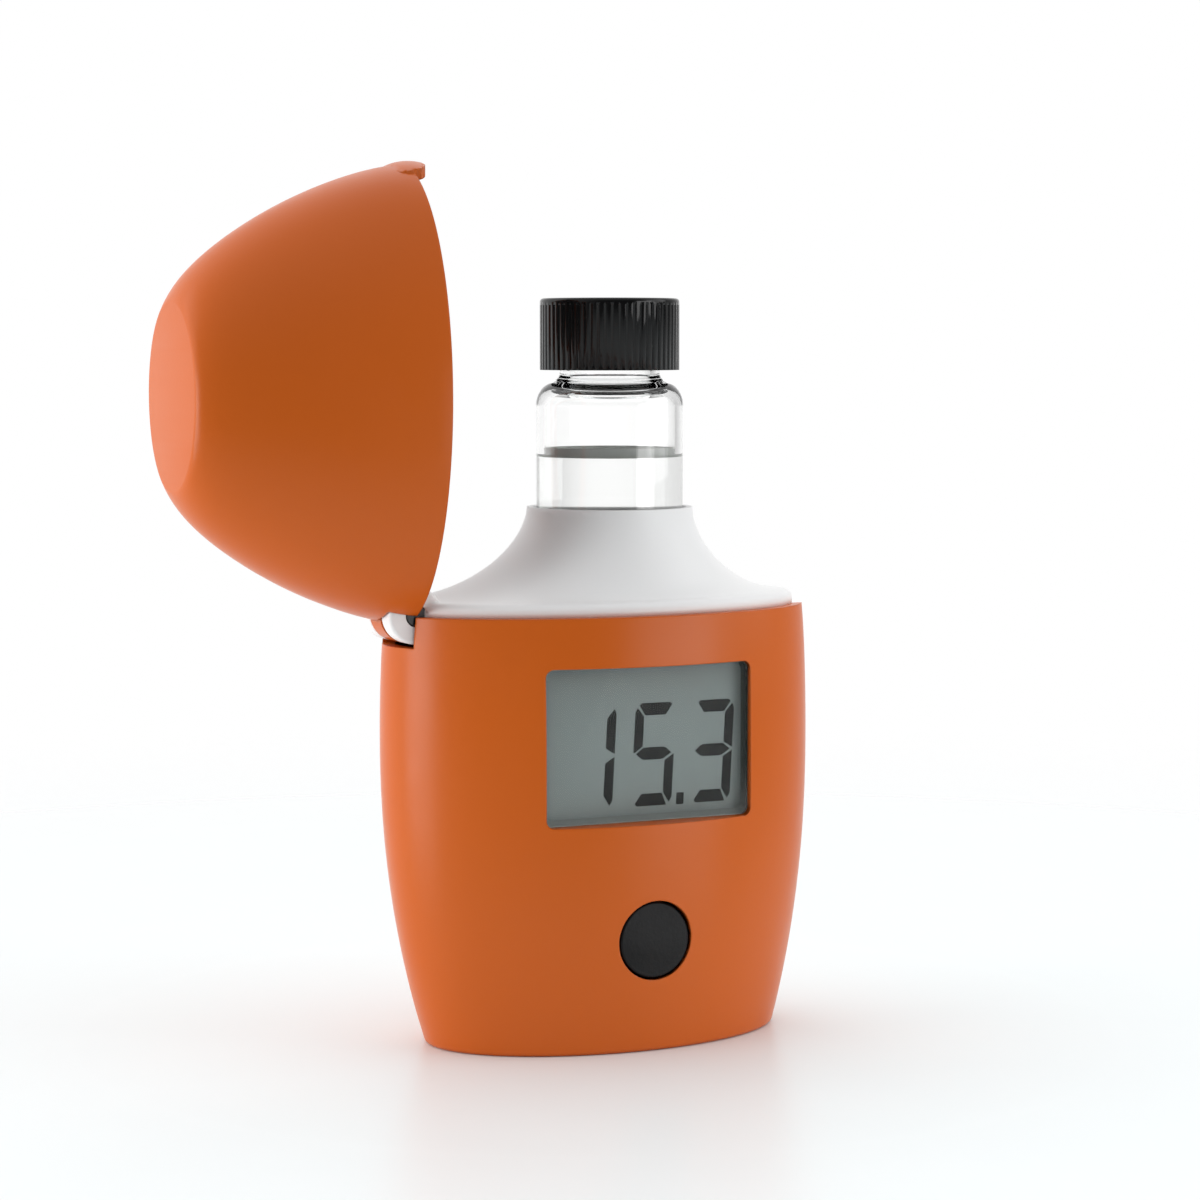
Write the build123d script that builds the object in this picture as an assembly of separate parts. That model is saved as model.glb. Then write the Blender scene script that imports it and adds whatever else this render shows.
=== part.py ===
from build123d import *
import math
import os

# A pocket colorimeter: an egg-shaped meter with a flip lid and a glass cuvette in a round well.
# Millimetres. The origin is on the base, under the middle of the shell's rim. +Z is up, the
# display faces -Y, and the lid hinges on the -X side. The model stands with its lid open and
# its cuvette raised.

# Body shell: half sizes of its elliptical sections at the base, the belly and the rim.
# Below the belly the sections also move a little forward, so the back runs in further.
SHELL_HEIGHT = 56.5
BELLY_HEIGHT = 40.0
BASE_HALF_WIDTH = 24.6
BASE_HALF_DEPTH = 15.1
BELLY_HALF_WIDTH = 30.2
BELLY_HALF_DEPTH = 18.0
RIM_HALF_WIDTH = 29.6
RIM_HALF_DEPTH = 17.2
BASE_LEAN = 1.2
LEAN_POWER = 1.5
BELLY_POWER = 2.2
RIM_POWER = 2.0
SHELL_WALL = 1.8
FLOOR = 2.0
BASE_EDGE_RADIUS = 0.8

# Lid: a dome on the shell's rim, with a flat oval top
LID_HEIGHT = 30.7
LID_STEP = 0.25
LID_TOP_HALF_WIDTH = 11.9
LID_TOP_HALF_DEPTH = 9.1
LID_BULGE = 1.43
LID_SHOULDER = 0.7
LID_STATIONS = (0, 0.2, 0.4, 0.6, 0.78, 0.9, 1)
LID_WALL = 1.3
LID_RIM_WALL = 0.8
LID_TOP_EDGE_RADIUS = 1.0
LINER_WALL = 0.4
LINER_GAP = 0.05
RIM_GAP = 0.2
FACE_GAP = 0.05

# Thumb tab on the lid's free end
TAB_HALF_WIDTH = 5.0
TAB_REACH = 2.2
TAB_STAND_OUT = 0.4
TAB_SINK = 0.2
TAB_RISE = 2.4
TAB_CORNER = 2.2
TAB_CLEARANCE = 0.3

# Hinge, whose axis runs along Y
HINGE_INSET = 1.65
HINGE_RISE = 0.2
BARREL_RADIUS = 3.7
NOTCH_CLEARANCE = 0.5
EAR_OUTER = 4.95
EAR_INNER = 1.95
HINGE_SIDE_GAP = 0.2
BARREL_CLEARANCE = 0.3
EAR_EDGE_RADIUS = 0.45
PIN_RADIUS = 1.45
PIN_FIT_IN_EARS = 0.02
PIN_FIT_IN_BARREL = 0.06

# Collar and neck of the cuvette holder
CUVETTE_X = 1.9
LIP_INSET = 1.35
LIP_HEIGHT = 1.8
LIP_EDGE = 1.1
LIP_LAND = 0.15
SKIRT_DEPTH = 1.5
SKIRT_FIT = 0.1
COLLAR_WALL = 1.5
NECK_HEIGHT = 13.3
NECK_WALL = 1.0
NECK_EDGE_RADIUS = 0.35
FLARE_POWER = 1.75
FLARE_STATIONS = (0, 0.012, 0.05, 0.13, 0.25, 0.42, 0.65, 1)
EAR_WEB_DROP = 0.3

# Cuvette: glass, neck, sample and cap, with its heights measured down from the glass top
GLASS_RADIUS = 9.7
GLASS_WALL = 1.0
GLASS_FLOOR = 1.4
GLASS_FLOOR_RADIUS = 1.2
GLASS_HEIGHT = 61.9
GLASS_STAND = 25.1
SHOULDER_LOW_DROP = 9.5
SHOULDER_HIGH_DROP = 8.2
SHOULDER_RADIUS = 2.3
FINISH_FILLET = 0.7
FINISH_RADIUS = 6.6
FINISH_BORE = 5.4
SAMPLE_DROP = 17.7
SAMPLE_GAP = 0.03
CAP_RADIUS = 9.2
CAP_SKIRT = 7.1
CAP_TOP_WALL = 1.3
CAP_LINER = 0.95
CAP_BORE = 7.45
CAP_RIBS = 60
CAP_RIB_DEPTH = 0.22
CAP_PLAIN_TOP = 0.9
SLIDE_TRAVEL = 17.3

# Well
WELL_CLEARANCE = 0.25
WELL_WALL = 0.9
WELL_FLOOR = 1.4
WELL_END_GAP = 0.3
SEAL_FIT = 0.08
SEAL_GROOVE = 0.45
SEAL_HEIGHT = 1.4
SEAL_BELOW_NECK = 1.6

# Display, from the front backwards
PANE_DEPTH = 2.7
PANE_THICKNESS = 0.8
WINDOW_HALF_WIDTH = 14.7
WINDOW_HEIGHT = 20.3
WINDOW_DROP = 6.4
WINDOW_CORNER = 1.1
WINDOW_FIT = 0.1
FRAME_BORDER = 2.2
BEZEL_RIM = 0.5
BEZEL_RIM_DEPTH = 0.5
BEZEL_FLANGE = 0.6
BEZEL_FIT = 0.2
LCD_THICKNESS = 1.5
STRIP_HEIGHT = 1.6
STRIP_LENGTH = 26.0
STRIP_INSET = 0.4

# Main board, behind the display
BOARD_DEPTH = 6.1
BOARD_THICKNESS = 0.9
BOARD_LOW = 7.0
BOARD_SHOULDER = 27.0
BOARD_DROP = 2.2
BOARD_SIDE_GAP = 0.55
BOARD_FOOT_HALF_WIDTH = 11.0
BOARD_SCREW_INSET = 3.8
BOARD_SCREW_DROP = 1.9
BOARD_SCREW_SPACING = 25.8
BOSS_RADIUS = 2.0
RIB_BEHIND_BOARD = 6.1
RIB_THICKNESS = 1.4

# Chips on the main board: place across and up, width, height, thickness
CONTROLLER = (-8.2, 22.8, 6.0, 6.0, 1.0)
AMPLIFIER = (8.2, 23.0, 4.0, 5.0, 1.1)
CONVERTER = (12.6, 20.6, 2.2, 2.6, 0.9)
CRYSTAL = (0, 25.6, 6.4, 2.2, 1.0)
CAPACITORS = 4
CAPACITOR_PITCH = 2.4
CAPACITOR_Z = 22.6
CAPACITOR_SIZE = (1.0, 0.6, 0.5)

# Button and its switch
BUTTON_Z = 14.7
BUTTON_RADIUS = 4.95
BUTTON_GAP = 0.25
BUTTON_DEPTH = 0.85
BUTTON_CROWN = 0.35
BUTTON_SEAT_DEPTH = 2.05
BUTTON_SEAT_GAP = 0.2
FLANGE_WIDTH = 1.15
FLANGE_THICKNESS = 0.6
BUTTON_TRAVEL = 0.35
SWITCH_SIZE = 4.6
SWITCH_THICKNESS = 2.0
PLUNGER_RADIUS = 1.1
PLUNGER_FIT = 0.08
PLUNGER_LENGTH = 1.6

# Optics, on a line through the well
OPTICS_RISE = 7.6
LED_WIDTH = 3.2
LED_HEIGHT = 2.8
LED_DEPTH = 0.65
LENS_RADIUS = 1.1
LED_PORT_GAP = 0.4
LIGHT_BORE = 1.8
FILTER_RADIUS = 3.0
FILTER_THICKNESS = 1.0
FILTER_FIT = 0.1
FILTER_SEAT_WALL = 0.85
OPTICS_GAP = 0.1
DIODE_SIZE = 4.0
DETECTOR_BLOCK = 4.8
DETECTOR_DEPTH = 3.05
DETECTOR_BOARD = 0.6
DETECTOR_TAIL = 3.0
DETECTOR_SCREW = 3.5
FLEX_WIDTH = 3.2
FLEX_Z = 20.0
FLEX_THICKNESS = 0.14
FLEX_SIDE_X = 14.9
FLEX_FRONT_TURN_X = 13.0
FLEX_END_X = 12.0
FLEX_BEND = 1.3

# Battery, an AAA cell in its own tube, with a coin-turned cover in the base
CELL_RADIUS = 5.25
CELL_LENGTH = 44.5
CELL_NUB_RADIUS = 1.9
CELL_NUB = 0.8
CELL_X = -15.6
CELL_FIT = 0.2
CELL_TUBE_WALL = 0.8
CELL_TUBE_GAP = 0.5
SPRING_RADIUS = 3.4
SPRING_WIRE = 0.3
SPRING_HEIGHT = 1.9
SPRING_TURNS = 2
COVER_RADIUS = 7.0
COVER_THICKNESS = 1.35
COVER_RECESS = 0.15
COVER_GAP = 0.15
COVER_LEDGE = 1.1
PLUG_RADIUS = 5.4
PLUG_GAP = 0.25
LUG_REACH = 1.2
LUG_HEIGHT = 0.9
LUG_ANGLE = 40.0
LUG_GAP = 0.1
SLOT_ANGLE = 52.0
LOCK_TURN = 60.0
COIN_SLOT_LENGTH = 8.4
COIN_SLOT_WIDTH = 1.7
COIN_SLOT_DEPTH = 0.7
RING_INNER = 5.9
RING_OUTER = 6.6
RING_THICKNESS = 0.7
RING_GROOVE_GAP = 0.05
CONTACT_RADIUS = 4.4
CONTACT_THICKNESS = 0.25
LEAF_WIDTH = 3.0
LEAF_THICKNESS = 0.3
LEAF_HIGH = 10.5
LEAF_BOARD_X = -11.0

# Screws
CHASSIS_SCREW_SPREAD = 6.0
CHASSIS_HEAD_RADIUS = 1.9
CHASSIS_HEAD = 1.0
CHASSIS_HEAD_RECESS = 0.3
CHASSIS_SHANK_RADIUS = 1.0
CHASSIS_SHANK = 7.0
POST_RADIUS = 2.4
BOARD_HEAD_RADIUS = 1.6
BOARD_HEAD = 0.9
BOARD_SHANK_RADIUS = 0.8
BOARD_SHANK = 4.0
SMALL_HEAD_RADIUS = 1.0
SMALL_HEAD = 0.5
SMALL_SHANK_RADIUS = 0.5
SMALL_SHANK = 2.4
SCREW_FIT = 0.03
DRIVE_RADIUS = 0.55

# Places worked out from the sizes above
HINGE_X = HINGE_INSET - RIM_HALF_WIDTH
HINGE_Z = SHELL_HEIGHT + HINGE_RISE
LID_BASE = SHELL_HEIGHT + RIM_GAP
LID_HALF_WIDTH = RIM_HALF_WIDTH - LID_STEP
LID_HALF_DEPTH = RIM_HALF_DEPTH - LID_STEP
LIP_TOP = SHELL_HEIGHT + LIP_HEIGHT
NECK_TOP = SHELL_HEIGHT + NECK_HEIGHT
GLASS_TOP = NECK_TOP + GLASS_STAND
GLASS_LOW = GLASS_TOP - GLASS_HEIGHT
SHOULDER_LOW = GLASS_TOP - SHOULDER_LOW_DROP
SHOULDER_HIGH = GLASS_TOP - SHOULDER_HIGH_DROP
SAMPLE_LEVEL = GLASS_TOP - SAMPLE_DROP
CAP_LOW = GLASS_TOP - CAP_SKIRT
WELL_RADIUS = GLASS_RADIUS + WELL_CLEARANCE
WELL_OUTER = WELL_RADIUS + WELL_WALL
NECK_RADIUS = WELL_RADIUS + NECK_WALL
WELL_BOTTOM = GLASS_LOW - SLIDE_TRAVEL - WELL_END_GAP
OPTICS_Z = WELL_BOTTOM + OPTICS_RISE
FILTER_SEAT = WELL_RADIUS + FILTER_SEAT_WALL
DETECTOR_FACE = WELL_RADIUS + DETECTOR_DEPTH
WINDOW_HIGH = SHELL_HEIGHT - WINDOW_DROP
WINDOW_LOW = WINDOW_HIGH - WINDOW_HEIGHT
PANE_FRONT = PANE_DEPTH - BELLY_HALF_DEPTH
PANE_BACK = PANE_FRONT + PANE_THICKNESS
FRAME_BACK = PANE_BACK + BEZEL_RIM_DEPTH
BOARD_FRONT = BOARD_DEPTH - BELLY_HALF_DEPTH
BOARD_BACK = BOARD_FRONT + BOARD_THICKNESS
RIM_INNER_WIDTH = RIM_HALF_WIDTH - SHELL_WALL
RIM_INNER_DEPTH = RIM_HALF_DEPTH - SHELL_WALL
BOARD_REACH = RIM_INNER_WIDTH * math.sqrt(1 - (BOARD_FRONT / RIM_INNER_DEPTH) ** 2)
BOARD_HALF_WIDTH = BOARD_REACH - BOARD_SIDE_GAP
BOARD_HIGH = SHELL_HEIGHT - BOARD_DROP
BOARD_SCREW_X = BOARD_HALF_WIDTH - BOARD_SCREW_INSET
BOARD_SCREW_HIGH = BOARD_HIGH - BOARD_SCREW_DROP
BOARD_SCREW_LOW = BOARD_SCREW_HIGH - BOARD_SCREW_SPACING
RIB_Y = BOARD_BACK + RIB_BEHIND_BOARD
BUTTON_FRONT = BUTTON_DEPTH - BELLY_HALF_DEPTH
BUTTON_SEAT = BUTTON_SEAT_DEPTH - BELLY_HALF_DEPTH
LEDGE_LOW = COVER_RECESS + COVER_THICKNESS + LUG_GAP
LEDGE_HIGH = LEDGE_LOW + COVER_LEDGE
LUG_LOW = LEDGE_HIGH + LUG_GAP
PLUG_HIGH = LUG_LOW + LUG_HEIGHT + LUG_GAP
CONTACT_HIGH = PLUG_HIGH + CONTACT_THICKNESS
CELL_LOW = CONTACT_HIGH + FACE_GAP
CELL_HIGH = CELL_LOW + CELL_LENGTH
CELL_TUBE_RADIUS = CELL_RADIUS + CELL_FIT
CELL_TUBE_OUTER = CELL_TUBE_RADIUS + CELL_TUBE_WALL
TUBE_LOW = PLUG_HIGH + CELL_TUBE_GAP
TUBE_CEILING = CELL_HIGH + SPRING_HEIGHT + 2 * SPRING_WIRE
TUBE_HIGH = TUBE_CEILING + CELL_TUBE_WALL


def block(x0, x1, y0, y1, z0, z1):
    middle = Pos((x0 + x1) / 2, (y0 + y1) / 2, (z0 + z1) / 2)
    return middle * Box(x1 - x0, y1 - y0, z1 - z0)


def rod_z(radius, x, y, z0, z1):
    return Pos(x, y, (z0 + z1) / 2) * Cylinder(radius, z1 - z0)


def rod_y(radius, x, z, y0, y1):
    return Pos(x, (y0 + y1) / 2, z) * Rot(90, 0, 0) * Cylinder(radius, y1 - y0)


def panel(half_width, z0, z1, y0, y1, corner):
    # An upright plate facing -Y with rounded corners
    middle = Plane(origin=(0, y1, (z0 + z1) / 2), x_dir=(1, 0, 0), z_dir=(0, -1, 0))
    return extrude(middle * RectangleRounded(2 * half_width, z1 - z0, corner), y1 - y0)


def oval(x, z, half_width, half_depth, y=0):
    return Pos(x, y, z) * Ellipse(half_width, half_depth)


def below_belly(z):
    # 1 at the base, 0 at the belly and above it
    return max(BELLY_HEIGHT - z, 0) / BELLY_HEIGHT


def shell_half(z, base, belly, rim):
    # One curve from the base up to the belly, and a flatter one from there to the rim
    if z < BELLY_HEIGHT:
        return belly - (belly - base) * below_belly(z) ** BELLY_POWER
    above = (z - BELLY_HEIGHT) / (SHELL_HEIGHT - BELLY_HEIGHT)
    return belly - (belly - rim) * above ** RIM_POWER


def shell_form(inset, low, high, steps=6):
    ovals = []
    for i in range(steps + 1):
        z = low + (high - low) * i / steps
        half_width = shell_half(z, BASE_HALF_WIDTH, BELLY_HALF_WIDTH, RIM_HALF_WIDTH)
        half_depth = shell_half(z, BASE_HALF_DEPTH, BELLY_HALF_DEPTH, RIM_HALF_DEPTH)
        lean = BASE_LEAN * below_belly(z) ** LEAN_POWER
        ovals.append(oval(0, z, half_width - inset, half_depth - inset, -lean))
    return loft(ovals)


def lid_half(t, top, rim):
    # t runs from 0 at the rim to 1 at the flat top
    return top + (rim - top) * (1 - min(max(t, 0), 1) ** LID_BULGE) ** LID_SHOULDER


def lid_form(inset, low):
    # The closed lid's outside, or the surface that lies inset below it, from low upwards
    ovals = []
    high = LID_BASE + LID_HEIGHT - inset
    for share in LID_STATIONS:
        z = low + (high - low) * share
        t = (z - LID_BASE) / (LID_HEIGHT - inset)
        half_width = lid_half(t, LID_TOP_HALF_WIDTH, LID_HALF_WIDTH) - inset
        half_depth = lid_half(t, LID_TOP_HALF_DEPTH, LID_HALF_DEPTH) - inset
        ovals.append(oval(0, z, half_width, half_depth))
    return loft(ovals)


def open_lid(shape):
    # Swing a piece drawn in the closed place back to the open place, where the model shows it
    turn = Rotation(0, -90, 0)
    return Pos(HINGE_X, 0, HINGE_Z) * turn * Pos(-HINGE_X, 0, -HINGE_Z) * shape


def flare_share(u):
    # 1 at the lip, 0 at the neck, along a hollow curve
    return 1 - (1 - (1 - u) ** FLARE_POWER) ** (1 / FLARE_POWER)


def collar_form(inset, low, high):
    # The hollow curve from the oval lip up to the round neck, or the surface inset below it
    ovals = []
    rim_inset = LIP_INSET + LIP_EDGE + LIP_LAND + inset
    lip_width = RIM_HALF_WIDTH - rim_inset
    lip_depth = RIM_HALF_DEPTH - rim_inset
    neck = NECK_RADIUS - inset / 2
    for u in FLARE_STATIONS:
        share = flare_share(u)
        half_width = neck + (lip_width - neck) * share
        half_depth = neck + (lip_depth - neck) * share
        z = low + (high - low) * u
        ovals.append(oval(CUVETTE_X * (1 - share), z, half_width, half_depth))
    return loft(ovals)


def body_shell():
    shell = shell_form(0, 0, SHELL_HEIGHT)
    shell = fillet(shell.edges().group_by(Axis.Z)[0], BASE_EDGE_RADIUS)
    frame = block(
        -WINDOW_HALF_WIDTH - FRAME_BORDER, WINDOW_HALF_WIDTH + FRAME_BORDER,
        -BELLY_HALF_DEPTH, FRAME_BACK,
        WINDOW_LOW - FRAME_BORDER, WINDOW_HIGH + FRAME_BORDER,
    )
    cavity = shell_form(SHELL_WALL, FLOOR, SHELL_HEIGHT) - frame
    shell -= cavity
    shell += rod_z(COVER_RADIUS + SHELL_WALL, CELL_X, 0, FLOOR / 2, LEDGE_HIGH) & shell_form(
        SHELL_WALL / 2, 0, SHELL_HEIGHT
    )
    shell -= window_cuts()
    shell -= button_cuts()
    shell -= hinge_notch()
    shell -= tab_notch()
    shell -= battery_port()
    for x in chassis_screw_places():
        shell -= rod_z(CHASSIS_HEAD_RADIUS + PLUG_GAP, x, 0, 0, CHASSIS_HEAD_RECESS + CHASSIS_HEAD)
        shell -= rod_z(CHASSIS_SHANK_RADIUS + PLUG_GAP, x, 0, 0, FLOOR)
    return shell


def window_cuts():
    opening = panel(
        WINDOW_HALF_WIDTH, WINDOW_LOW, WINDOW_HIGH,
        -BELLY_HALF_DEPTH - SHELL_WALL, FRAME_BACK, WINDOW_CORNER,
    )
    margin = BEZEL_FLANGE + BEZEL_FIT
    seat = block(
        -WINDOW_HALF_WIDTH - margin, WINDOW_HALF_WIDTH + margin,
        FRAME_BACK, BOARD_FRONT,
        WINDOW_LOW - margin, WINDOW_HIGH + margin,
    )
    return opening + seat


def button_cuts():
    hole = rod_y(BUTTON_RADIUS + BUTTON_GAP, 0, BUTTON_Z, -BELLY_HALF_DEPTH, BOARD_FRONT)
    seat = rod_y(
        BUTTON_RADIUS + BUTTON_GAP + FLANGE_WIDTH, 0, BUTTON_Z, BUTTON_SEAT, BOARD_FRONT
    )
    return hole + seat


def hinge_notch():
    half = EAR_OUTER + BARREL_CLEARANCE
    low = HINGE_Z - BARREL_RADIUS - NOTCH_CLEARANCE
    return block(-BELLY_HALF_WIDTH - 1, HINGE_X + BARREL_RADIUS, -half, half, low, LID_BASE)


def tab_notch():
    half = TAB_HALF_WIDTH + TAB_CLEARANCE
    low = LID_BASE - TAB_REACH - TAB_CLEARANCE
    inside = RIM_HALF_WIDTH - 2 * SHELL_WALL
    return block(inside, BELLY_HALF_WIDTH + 1, -half, half, low, LID_BASE)


def sector(radius, angle, centre_angle, z0, z1):
    # A pie slice about the battery cover's axis
    reach = 2 * radius
    half = math.radians(angle / 2)
    tip_y = reach * math.tan(half)
    slice_face = make_face(Polyline((0, 0), (reach, -tip_y), (reach, tip_y), close=True))
    prism = extrude(Pos(0, 0, z0) * slice_face, z1 - z0)
    disc = rod_z(radius, 0, 0, z0, z1)
    return Pos(CELL_X, 0, 0) * Rot(0, 0, centre_angle) * (prism & disc)


def battery_port():
    port = rod_z(COVER_RADIUS + COVER_GAP, CELL_X, 0, 0, LEDGE_LOW)
    port += rod_z(PLUG_RADIUS + PLUG_GAP, CELL_X, 0, 0, LEDGE_HIGH)
    for centre_angle in (90 - LOCK_TURN, 270 - LOCK_TURN):
        reach = PLUG_RADIUS + LUG_REACH + PLUG_GAP
        port += sector(reach, SLOT_ANGLE, centre_angle, LEDGE_LOW, LEDGE_HIGH)
    return port


def chassis_screw_places():
    return (CUVETTE_X - CHASSIS_SCREW_SPREAD, CUVETTE_X + CHASSIS_SCREW_SPREAD)


def collar():
    lip_width = RIM_HALF_WIDTH - LIP_INSET
    lip_depth = RIM_HALF_DEPTH - LIP_INSET
    lip = extrude(oval(0, SHELL_HEIGHT, lip_width, lip_depth), LIP_HEIGHT)
    lip = fillet(lip.edges().group_by(Axis.Z)[-1], LIP_EDGE)
    skirt_width = RIM_HALF_WIDTH - SHELL_WALL - SKIRT_FIT
    skirt_depth = RIM_HALF_DEPTH - SHELL_WALL - SKIRT_FIT
    skirt = extrude(oval(0, SHELL_HEIGHT - SKIRT_DEPTH, skirt_width, skirt_depth), SKIRT_DEPTH)
    outside = lip + skirt + collar_form(0, LIP_TOP, NECK_TOP)
    hollow = extrude(
        oval(0, SHELL_HEIGHT - SKIRT_DEPTH, skirt_width - COLLAR_WALL, skirt_depth - COLLAR_WALL),
        SKIRT_DEPTH + LIP_HEIGHT - COLLAR_WALL,
    )
    inner_flare = collar_form(COLLAR_WALL, LIP_TOP - COLLAR_WALL, NECK_TOP - COLLAR_WALL)
    return outside - hollow - inner_flare


def hinge_ears():
    ears = Part()
    for y0, y1 in ((-EAR_OUTER, -EAR_INNER), (EAR_INNER, EAR_OUTER)):
        ear = rod_y(BARREL_RADIUS, HINGE_X, HINGE_Z, y0, y1)
        ear = fillet(ear.edges().filter_by(GeomType.CIRCLE), EAR_EDGE_RADIUS)
        web_high = LIP_TOP - EAR_WEB_DROP
        ear += block(
            HINGE_X, HINGE_X + BARREL_RADIUS, y0 + EAR_EDGE_RADIUS, y1 - EAR_EDGE_RADIUS,
            HINGE_Z - BARREL_RADIUS, web_high,
        )
        ears += ear
    return ears


def battery_tube():
    tube = rod_z(CELL_TUBE_OUTER, CELL_X, 0, TUBE_LOW, TUBE_HIGH)
    web_right = CUVETTE_X - WELL_RADIUS - WELL_WALL / 2
    web = block(CELL_X, web_right, -CELL_TUBE_WALL, CELL_TUBE_WALL, WELL_BOTTOM, SHELL_HEIGHT)
    bosses = Part()
    for z in (BOARD_SCREW_LOW, BOARD_SCREW_HIGH):
        bosses += rod_y(BOSS_RADIUS, -BOARD_SCREW_X, z, BOARD_BACK, -PLUG_RADIUS)
    return tube + web + bosses


def well_tube():
    tube = rod_z(WELL_OUTER, CUVETTE_X, 0, WELL_BOTTOM - WELL_FLOOR, NECK_TOP - COLLAR_WALL / 2)
    rib = block(
        CUVETTE_X + WELL_RADIUS - WELL_WALL, BOARD_SCREW_X + BOSS_RADIUS,
        RIB_Y - RIB_THICKNESS / 2, RIB_Y + RIB_THICKNESS / 2,
        BOARD_SCREW_LOW - BOSS_RADIUS, SHELL_HEIGHT,
    )
    bosses = Part()
    for z in (BOARD_SCREW_LOW, BOARD_SCREW_HIGH):
        bosses += rod_y(BOSS_RADIUS, BOARD_SCREW_X, z, BOARD_BACK, RIB_Y)
    posts = Part()
    for x in chassis_screw_places():
        posts += rod_z(POST_RADIUS, x, 0, FLOOR, WELL_BOTTOM - WELL_FLOOR / 2)
    detector = block(
        CUVETTE_X - DETECTOR_BLOCK, CUVETTE_X + DETECTOR_BLOCK,
        WELL_RADIUS - WELL_WALL, DETECTOR_FACE,
        OPTICS_Z - DETECTOR_BLOCK, OPTICS_Z + DETECTOR_BLOCK,
    )
    return tube + rib + bosses + posts + detector


def holder_bores():
    bores = rod_z(WELL_RADIUS, CUVETTE_X, 0, WELL_BOTTOM, NECK_TOP)
    groove_high = NECK_TOP - SEAL_BELOW_NECK
    bores += rod_z(
        WELL_RADIUS + SEAL_GROOVE, CUVETTE_X, 0, groove_high - SEAL_HEIGHT, groove_high
    )
    bores += rod_z(CELL_TUBE_RADIUS, CELL_X, 0, TUBE_LOW, TUBE_CEILING)
    for x in chassis_screw_places():
        bores += rod_z(CHASSIS_SHANK_RADIUS + SCREW_FIT, x, 0, FLOOR, FLOOR + CHASSIS_SHANK)
    for x in (-BOARD_SCREW_X, BOARD_SCREW_X):
        for z in (BOARD_SCREW_LOW, BOARD_SCREW_HIGH):
            radius = BOARD_SHANK_RADIUS + SCREW_FIT
            bores += rod_y(radius, x, z, BOARD_BACK, BOARD_BACK + BOARD_SHANK)
    port_width = LED_WIDTH + LED_PORT_GAP
    port_height = LED_HEIGHT + LED_PORT_GAP
    bores += block(
        CUVETTE_X - port_width / 2, CUVETTE_X + port_width / 2, BOARD_BACK, 0,
        OPTICS_Z - port_height / 2, OPTICS_Z + port_height / 2,
    )
    bores += rod_y(LIGHT_BORE, CUVETTE_X, OPTICS_Z, 0, DETECTOR_FACE)
    seat = FILTER_RADIUS + FILTER_FIT
    bores += rod_y(seat, CUVETTE_X, OPTICS_Z, FILTER_SEAT, DETECTOR_FACE)
    for x, z in detector_screw_places():
        radius = SMALL_SHANK_RADIUS + SCREW_FIT
        bores += rod_y(radius, x, z, DETECTOR_FACE - SMALL_SHANK, DETECTOR_FACE)
    return bores


def cuvette_holder():
    holder = collar() + well_tube() + battery_tube() + hinge_ears()
    holder -= holder_bores()
    slot = BARREL_RADIUS + BARREL_CLEARANCE
    holder -= rod_y(slot, HINGE_X, HINGE_Z, -EAR_INNER, EAR_INNER)
    holder -= rod_y(PIN_RADIUS + PIN_FIT_IN_EARS, HINGE_X, HINGE_Z, -EAR_OUTER, EAR_OUTER)
    neck_edges = holder.edges().filter_by(GeomType.CIRCLE).group_by(Axis.Z)[-1]
    return fillet(neck_edges, NECK_EDGE_RADIUS)


def well_seal_ring():
    high = NECK_TOP - SEAL_BELOW_NECK - SCREW_FIT
    low = high - SEAL_HEIGHT + 2 * SCREW_FIT
    ring = rod_z(WELL_RADIUS + SEAL_GROOVE - SCREW_FIT, CUVETTE_X, 0, low, high)
    return ring - rod_z(GLASS_RADIUS + SEAL_FIT, CUVETTE_X, 0, low, high)


def hinge_pin():
    pin = rod_y(PIN_RADIUS, HINGE_X, HINGE_Z, -EAR_OUTER, EAR_OUTER)
    return chamfer(pin.edges().filter_by(GeomType.CIRCLE), PIN_RADIUS / 8)


def thumb_tab():
    stand_out = TAB_STAND_OUT
    low = LID_BASE - TAB_REACH
    high = LID_BASE + TAB_RISE
    at_high = lid_half(TAB_RISE / LID_HEIGHT, LID_TOP_HALF_WIDTH, LID_HALF_WIDTH)
    growth = at_high - LID_HALF_WIDTH - TAB_SINK
    outside = loft([
        oval(0, low, LID_HALF_WIDTH + stand_out, LID_HALF_DEPTH + stand_out),
        oval(0, LID_BASE, LID_HALF_WIDTH + stand_out, LID_HALF_DEPTH + stand_out),
        oval(0, high, LID_HALF_WIDTH + growth, LID_HALF_DEPTH + growth),
    ])
    inner_width = LID_HALF_WIDTH - LID_RIM_WALL
    inner_depth = LID_HALF_DEPTH - LID_RIM_WALL
    ring = outside - extrude(oval(0, low, inner_width, inner_depth), high - low)
    side = Plane(origin=(0, 0, (low + high) / 2), x_dir=(0, 1, 0), z_dir=(1, 0, 0))
    outline = side * RectangleRounded(2 * TAB_HALF_WIDTH, high - low, TAB_CORNER)
    return ring & extrude(outline, BELLY_HALF_WIDTH + stand_out)


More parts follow.
